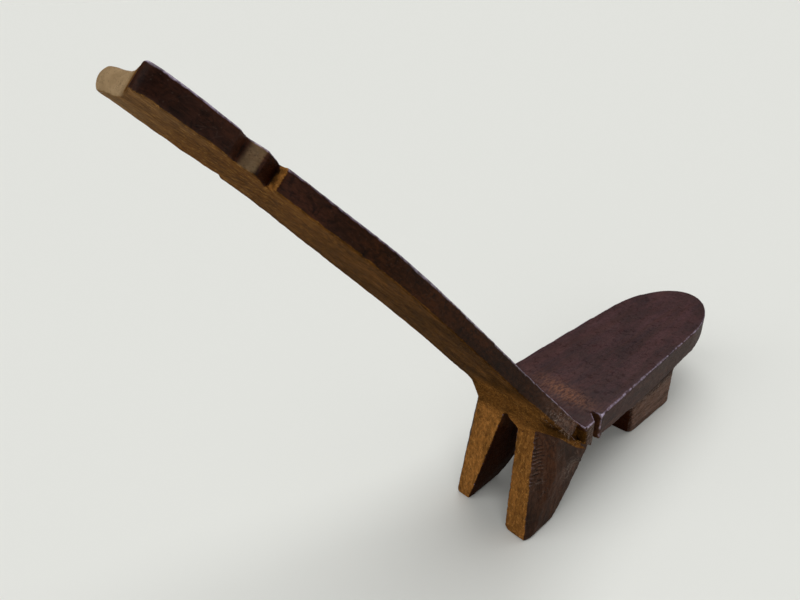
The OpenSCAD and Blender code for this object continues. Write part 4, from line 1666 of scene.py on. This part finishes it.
@dataclass(frozen=True)
class Timber:
    """Finish of carved hardwood with a dark patina where it was handled, and with painted shade and painted
    highlights.
    """

    name: str
    side_dark: Colour = srgb(29, 15, 7)
    side_red: Colour = srgb(57, 29, 10)
    side_black: Colour = srgb(15, 9, 6)
    seat_dark: Colour = srgb(47, 29, 31)
    seat_red: Colour = srgb(68, 41, 43)
    seat_black: Colour = srgb(24, 14, 16)
    raw_dark: Colour = srgb(40, 22, 1)
    raw_gold: Colour = srgb(147, 97, 46)
    raw_black: Colour = srgb(20, 12, 3)
    tan: Colour = srgb(149, 125, 93)
    tan_dark: Colour = srgb(134, 111, 81)
    # Painted shade colour, near black.
    shade_black: Colour = srgb(41, 16, 3)
    dry_grey: Colour = srgb(112, 84, 70)
    rust: Colour = srgb(112, 72, 50)
    dirt: Colour = srgb(12, 7, 4)
    # Pale gold of torn fibres and of painted glints on raw edges; lilac-white painted highlight on polished
    # edges.
    bare_gold_and_glint: Colour = srgb(178, 126, 66)
    highlight_lilac: Colour = srgb(184, 170, 194)
    scratch: Colour = srgb(158, 142, 132)
    polish: float = 0.5
    dullness: float = 0.8
    sheen: float = 0.012
    gloss: float = 0.32
    relief: float = 0.0012

    def material(self, effects: Effects) -> bpy.types.Material:
        """Builds the material.

        Args:
            effects: The shared effects.

        Returns:
            The material.
        """
        mat = bpy.data.materials.new(self.name)
        mat.use_nodes = True
        bench = Bench(mat.node_tree)
        shader = mat.node_tree.nodes["Principled BSDF"]
        place = bench.add("ShaderNodeTexCoord").outputs["Object"]
        zones = {zone: self.zone(bench, zone.value).outputs["Fac"] for zone in Zone}
        grain = self.zone(bench, "grain").outputs["Vector"]
        fibre = effects.grain.use(bench, Grain=grain)
        cloud = effects.patina.use(bench, Place=place, Grain=grain)
        tool = effects.tools.use(bench, Grain=grain)
        line = effects.scratches.use(bench, Place=place)["Lines"]
        wear = effects.edges.use(bench, Rubbed=zones[Zone.RUBBED], Deep=zones[Zone.DEEP], Place=place)
        raw = self.ragged(bench, zones[Zone.RAW], cloud["Specks"], 0.35)
        layers = Layers(zones, raw, line, fibre, cloud, tool, wear)
        bench.feed(shader.inputs["Base Color"], self.colour(bench, layers))
        rough = bench.grade(raw, 0.0, 1.0, self.polish, self.dullness)
        rough = bench.plus(rough, bench.times(cloud["Specks"], 0.16))
        rough = bench.calc("SUBTRACT", rough, bench.times(wear["BareOrHighlit"], 0.12))
        bench.feed(shader.inputs["Roughness"], rough)
        shader.inputs["Specular IOR Level"].default_value = self.sheen
        shine = bench.times(zones[Zone.SEAT], bench.grade(cloud["Blots"], 0.0, 1.0, 0.16, 0.05))
        shine = bench.plus(shine, 0.07)
        shine = bench.plus(shine, bench.times(wear["BareOrHighlit"], 0.7))
        # No coat on raw wood, nor where shade is painted.
        unpolished_or_shaded = bench.calc("MAXIMUM", raw, zones[Zone.SOOT])
        shine = bench.times(shine, bench.grade(unpolished_or_shaded, 0.0, 1.0, 1.0, 0.0))
        bench.feed(shader.inputs["Coat Weight"], shine)
        shader.inputs["Coat Roughness"].default_value = self.gloss
        bump = bench.add("ShaderNodeBump")
        bump.inputs["Strength"].default_value = 1.0
        bump.inputs["Distance"].default_value = self.relief
        bench.feed(bump.inputs["Height"], self.height(bench, layers))
        bench.feed(shader.inputs["Normal"], bump.outputs["Normal"])
        return mat

    @staticmethod
    def zone(bench: Bench, name: str) -> bpy.types.Node:
        """Node that reads one of the skin's grades."""
        node = bench.add("ShaderNodeAttribute")
        node.attribute_name = name
        return node

    @staticmethod
    def ragged(bench: Bench, zone: Socket, specks: Socket, amount: float) -> Socket:
        """Breaks up the border of a zone.

        Args:
            bench: Bench of the material.
            zone: The zone's grade.
            specks: Noise that breaks it up.
            amount: How much.

        Returns:
            The ragged grade.
        """
        moved = bench.plus(zone, bench.times(bench.calc("SUBTRACT", specks, 0.5), amount))
        return bench.grade(moved, 0.3, 0.7)

    def colour(self, bench: Bench, layers: Layers) -> Socket:
        """Lays the colours over each other, from the patina up to the scratches, with painted shade and
        painted edge highlights among them.

        Args:
            bench: Bench of the material.
            layers: What the colours are mixed from.

        Returns:
            The colour of the wood.
        """
        zones, fibre, cloud, tool, wear = layers.zones, layers.fibre, layers.cloud, layers.tool, layers.wear
        side = bench.blend(cloud["Clouds"], self.side_dark, self.side_red)
        side = bench.blend(bench.times(cloud["Blots"], 0.8), side, self.side_black)
        seat = bench.blend(cloud["Clouds"], self.seat_dark, self.seat_red)
        seat = bench.blend(bench.times(cloud["Blots"], 0.38), seat, self.seat_black)
        specks = bench.times(bench.grade(cloud["Specks"], 0.2, 0.6), zones[Zone.GRIME])
        seat = bench.blend(bench.times(specks, 0.8), seat, self.seat_black)
        patina = bench.blend(zones[Zone.SEAT], side, seat)
        patina = bench.blend(bench.times(fibre["Streaks"], 0.28), patina, self.side_red)
        streaks = bench.plus(fibre["Streaks"], fibre["Fibres"])
        grey = bench.times(zones[Zone.ASH], bench.grade(streaks, 0.5, 1.5, 0.35, 1.15))
        patina = bench.blend(grey, patina, self.dry_grey)
        gold = bench.blend(zones[Zone.GOLD], self.raw_dark, self.raw_gold)
        gold = bench.blend(bench.times(fibre["Streaks"], 0.4), gold, self.raw_dark)
        bright = bench.times(bench.times(fibre["Fibres"], cloud["Clouds"]), 0.38)
        gold = bench.blend(bright, gold, self.raw_gold)
        torn = bench.times(tool["Hairs"], bench.grade(zones[Zone.GOLD], 0.12, 0.4, 0.12, 0.6))
        gold = bench.blend(torn, gold, self.bare_gold_and_glint)
        gold = bench.blend(bench.times(cloud["Blots"], 0.36), gold, self.raw_black)
        colour = bench.blend(layers.raw, patina, gold)
        tan = bench.blend(fibre["Streaks"], self.tan, self.tan_dark)
        colour = bench.blend(zones[Zone.PALE], colour, tan)
        # Painted shade: near black in the slot between the rear legs, behind the front leg and in the
        # notches.
        colour = bench.blend(zones[Zone.SOOT], colour, self.shade_black)
        rust = bench.times(zones[Zone.STAIN], bench.grade(cloud["Mottle"], 0.2, 0.8, 0.2, 0.85))
        colour = bench.blend(rust, colour, self.rust)
        pores = bench.times(fibre["Pores"], bench.grade(zones[Zone.SEAT], 0.0, 1.0, 0.45, 0.1))
        colour = bench.blend(pores, colour, self.dirt)
        colour = bench.blend(bench.times(wear["Dirt"], 0.75), colour, self.dirt)
        shade = bench.grade(cloud["Mottle"], 0.0, 1.0, 0.62, 1.42)
        calm = bench.calc("SUBTRACT", 0.75, bench.times(zones[Zone.PALE], 0.7))
        calm = bench.times(calm, bench.grade(zones[Zone.SEAT], 0.0, 1.0, 1.0, 0.6))
        colour = bench.blend(calm, colour, shade, "MULTIPLY")
        # Worn edges with a painted highlight: lilac-white on polished wood, pale gold on raw wood.
        worn_or_highlit = bench.blend(layers.raw, self.highlight_lilac, self.bare_gold_and_glint)
        edge = bench.times(wear["BareOrHighlit"], bench.grade(zones[Zone.SEAT], 0.1, 0.5, 0.5, 0.9))
        colour = bench.blend(edge, colour, worn_or_highlit)
        colour = bench.blend(bench.times(cloud["Fleck"], 0.06), colour, self.scratch)
        dry = bench.grade(zones[Zone.ASH], 0.05, 0.4, 0.03, 0.55)
        colour = bench.blend(bench.times(layers.line, dry), colour, self.scratch)
        torn = bench.times(tool["Hairs"], bench.grade(zones[Zone.ASH], 0.45, 0.8, 1.0, 0.25))
        hairs = bench.times(torn, bench.grade(zones[Zone.ASH], 0.13, 0.32, 0.0, 0.5))
        return bench.blend(hairs, colour, self.scratch)

    def height(self, bench: Bench, layers: Layers) -> Socket:
        """Adds up the heights of fibres, tool marks, pores and scratches.

        Args:
            bench: Bench of the material.
            layers: What the heights are added up from.

        Returns:
            Height in shares of the bump's distance.
        """
        zones, fibre, tool = layers.zones, layers.fibre, layers.tool
        # Bumps are strongest on raw wood, on dry grey wood and where shade is painted.
        dry_or_shaded = bench.calc("MAXIMUM", zones[Zone.ASH], zones[Zone.SOOT])
        rough = bench.calc("MAXIMUM", layers.raw, dry_or_shaded)
        strength = bench.grade(rough, 0.0, 1.0, 0.25, 1.0)
        calm = bench.grade(zones[Zone.PALE], 0.0, 0.8, 1.0, 0.15)
        total = bench.times(fibre["Fibres"], 0.22)
        marks = ((tool["Facets"], 0.25), (tool["Chatter"], 0.3), (layers.cloud["Specks"], 0.25),
                 (tool["Hairs"], 0.3))
        for mark, share in marks:
            total = bench.plus(total, bench.times(mark, share))
        total = bench.times(total, bench.times(strength, calm))
        total = bench.calc("SUBTRACT", total, bench.times(fibre["Pores"], 0.12))
        return bench.calc("SUBTRACT", total, bench.times(layers.line, 0.15))


@dataclass
class Studio:
    """Pale floor, soft light and the camera of the photograph."""

    eye: Point3 = (-451.493, 740.078, 807.057)
    yaw: float = -0.7481568
    pitch: float = 0.4780147
    roll: float = -0.0242283
    focal_px: float = 599.11817
    image_width: float = 800.0
    floor_half: float = 120.0
    ground: Colour = srgb(226, 227, 222)
    surround: float = 0.06
    key: Lamp = (1.95, 27.0, -80.0, 62.0)
    fill: Lamp = (2.12, 56.0, 100.0, 92.0)

    def camera(self) -> bpy.types.Object:
        """Sets up the camera and returns it."""
        level = math.cos(self.pitch)
        ahead = Vector((math.cos(self.yaw) * level, math.sin(self.yaw) * level, -math.sin(self.pitch)))
        right = ahead.cross(Vector((0.0, 0.0, 1.0))).normalized()
        up = right.cross(ahead)
        turned, tipped = math.cos(self.roll), math.sin(self.roll)
        right, up = right * turned + up * tipped, up * turned - right * tipped
        data = bpy.data.cameras.new("camera")
        data.sensor_width = SENSOR_WIDTH
        data.lens = self.focal_px * SENSOR_WIDTH / self.image_width
        data.clip_start = 0.01
        data.clip_end = 500.0
        obj = bpy.data.objects.new("camera", data)
        turn = Matrix((right, up, -ahead)).transposed().to_4x4()
        obj.matrix_world = Matrix.Translation(Vector(self.eye) * MM) @ turn
        bpy.context.scene.collection.objects.link(obj)
        bpy.context.scene.camera = obj
        return obj

    def floor(self) -> bpy.types.Object:
        """Lays the floor and returns it."""
        bm = bmesh.new()
        bmesh.ops.create_grid(bm, x_segments=1, y_segments=1, size=self.floor_half)
        obj = to_object(bm, "floor")
        mat = bpy.data.materials.new("pale_floor")
        mat.use_nodes = True
        shader = mat.node_tree.nodes["Principled BSDF"]
        shader.inputs["Base Color"].default_value = self.ground
        shader.inputs["Roughness"].default_value = 0.9
        shader.inputs["Specular IOR Level"].default_value = 0.0
        obj.data.materials.append(mat)
        return obj

    def lights(self) -> None:
        """Lights the chair with two soft lamps and a faint even surround."""
        world = bpy.data.worlds.new("surround")
        world.use_nodes = True
        bench = Bench(world.node_tree)
        back = world.node_tree.nodes["Background"]
        seen = bench.add("ShaderNodeLightPath").outputs["Is Camera Ray"]
        bench.feed(back.inputs["Color"], bench.blend(seen, (1.0, 1.0, 1.0, 1.0), self.ground))
        bench.feed(back.inputs["Strength"], bench.grade(seen, 0.0, 1.0, self.surround, 1.0))
        bpy.context.scene.world = world
        self.lamp("key", *self.key)
        self.lamp("fill", *self.fill)

    @staticmethod
    def lamp(name: str, energy: float, lean: float, bearing: float, softness: float) -> None:
        """Hangs a very soft lamp.

        Args:
            name: Name of the lamp.
            energy: Its strength.
            lean: Angle from straight overhead, in degrees.
            bearing: Angle round the chair from +X, in degrees.
            softness: How wide it looks from the chair, in degrees.
        """
        lamp = bpy.data.lights.new(name, "SUN")
        lamp.energy = energy
        lamp.angle = math.radians(softness)
        obj = bpy.data.objects.new(name, lamp)
        tilt, turn = math.radians(lean), math.radians(bearing)
        towards = Vector((math.sin(tilt) * math.cos(turn), math.sin(tilt) * math.sin(turn), math.cos(tilt)))
        obj.rotation_euler = towards.to_track_quat("Z", "Y").to_euler()
        bpy.context.scene.collection.objects.link(obj)


def main() -> None:
    """Builds the chair and the studio."""
    logging.basicConfig(level=logging.INFO, format="%(name)s: %(message)s")
    effects = Effects()
    finishes = {name: Timber(name).material(effects) for name in ("dark_wood", "brown_wood", "golden_wood")}
    for member, obj in Log().members().items():
        obj.data.materials.append(finishes[member.slot])
        LOG.info("%s: %d faces", obj.name, len(obj.data.polygons))
    studio = Studio()
    studio.camera()
    studio.floor()
    studio.lights()
    bpy.context.scene.view_settings.view_transform = "Standard"


if __name__ == "__main__":
    main()
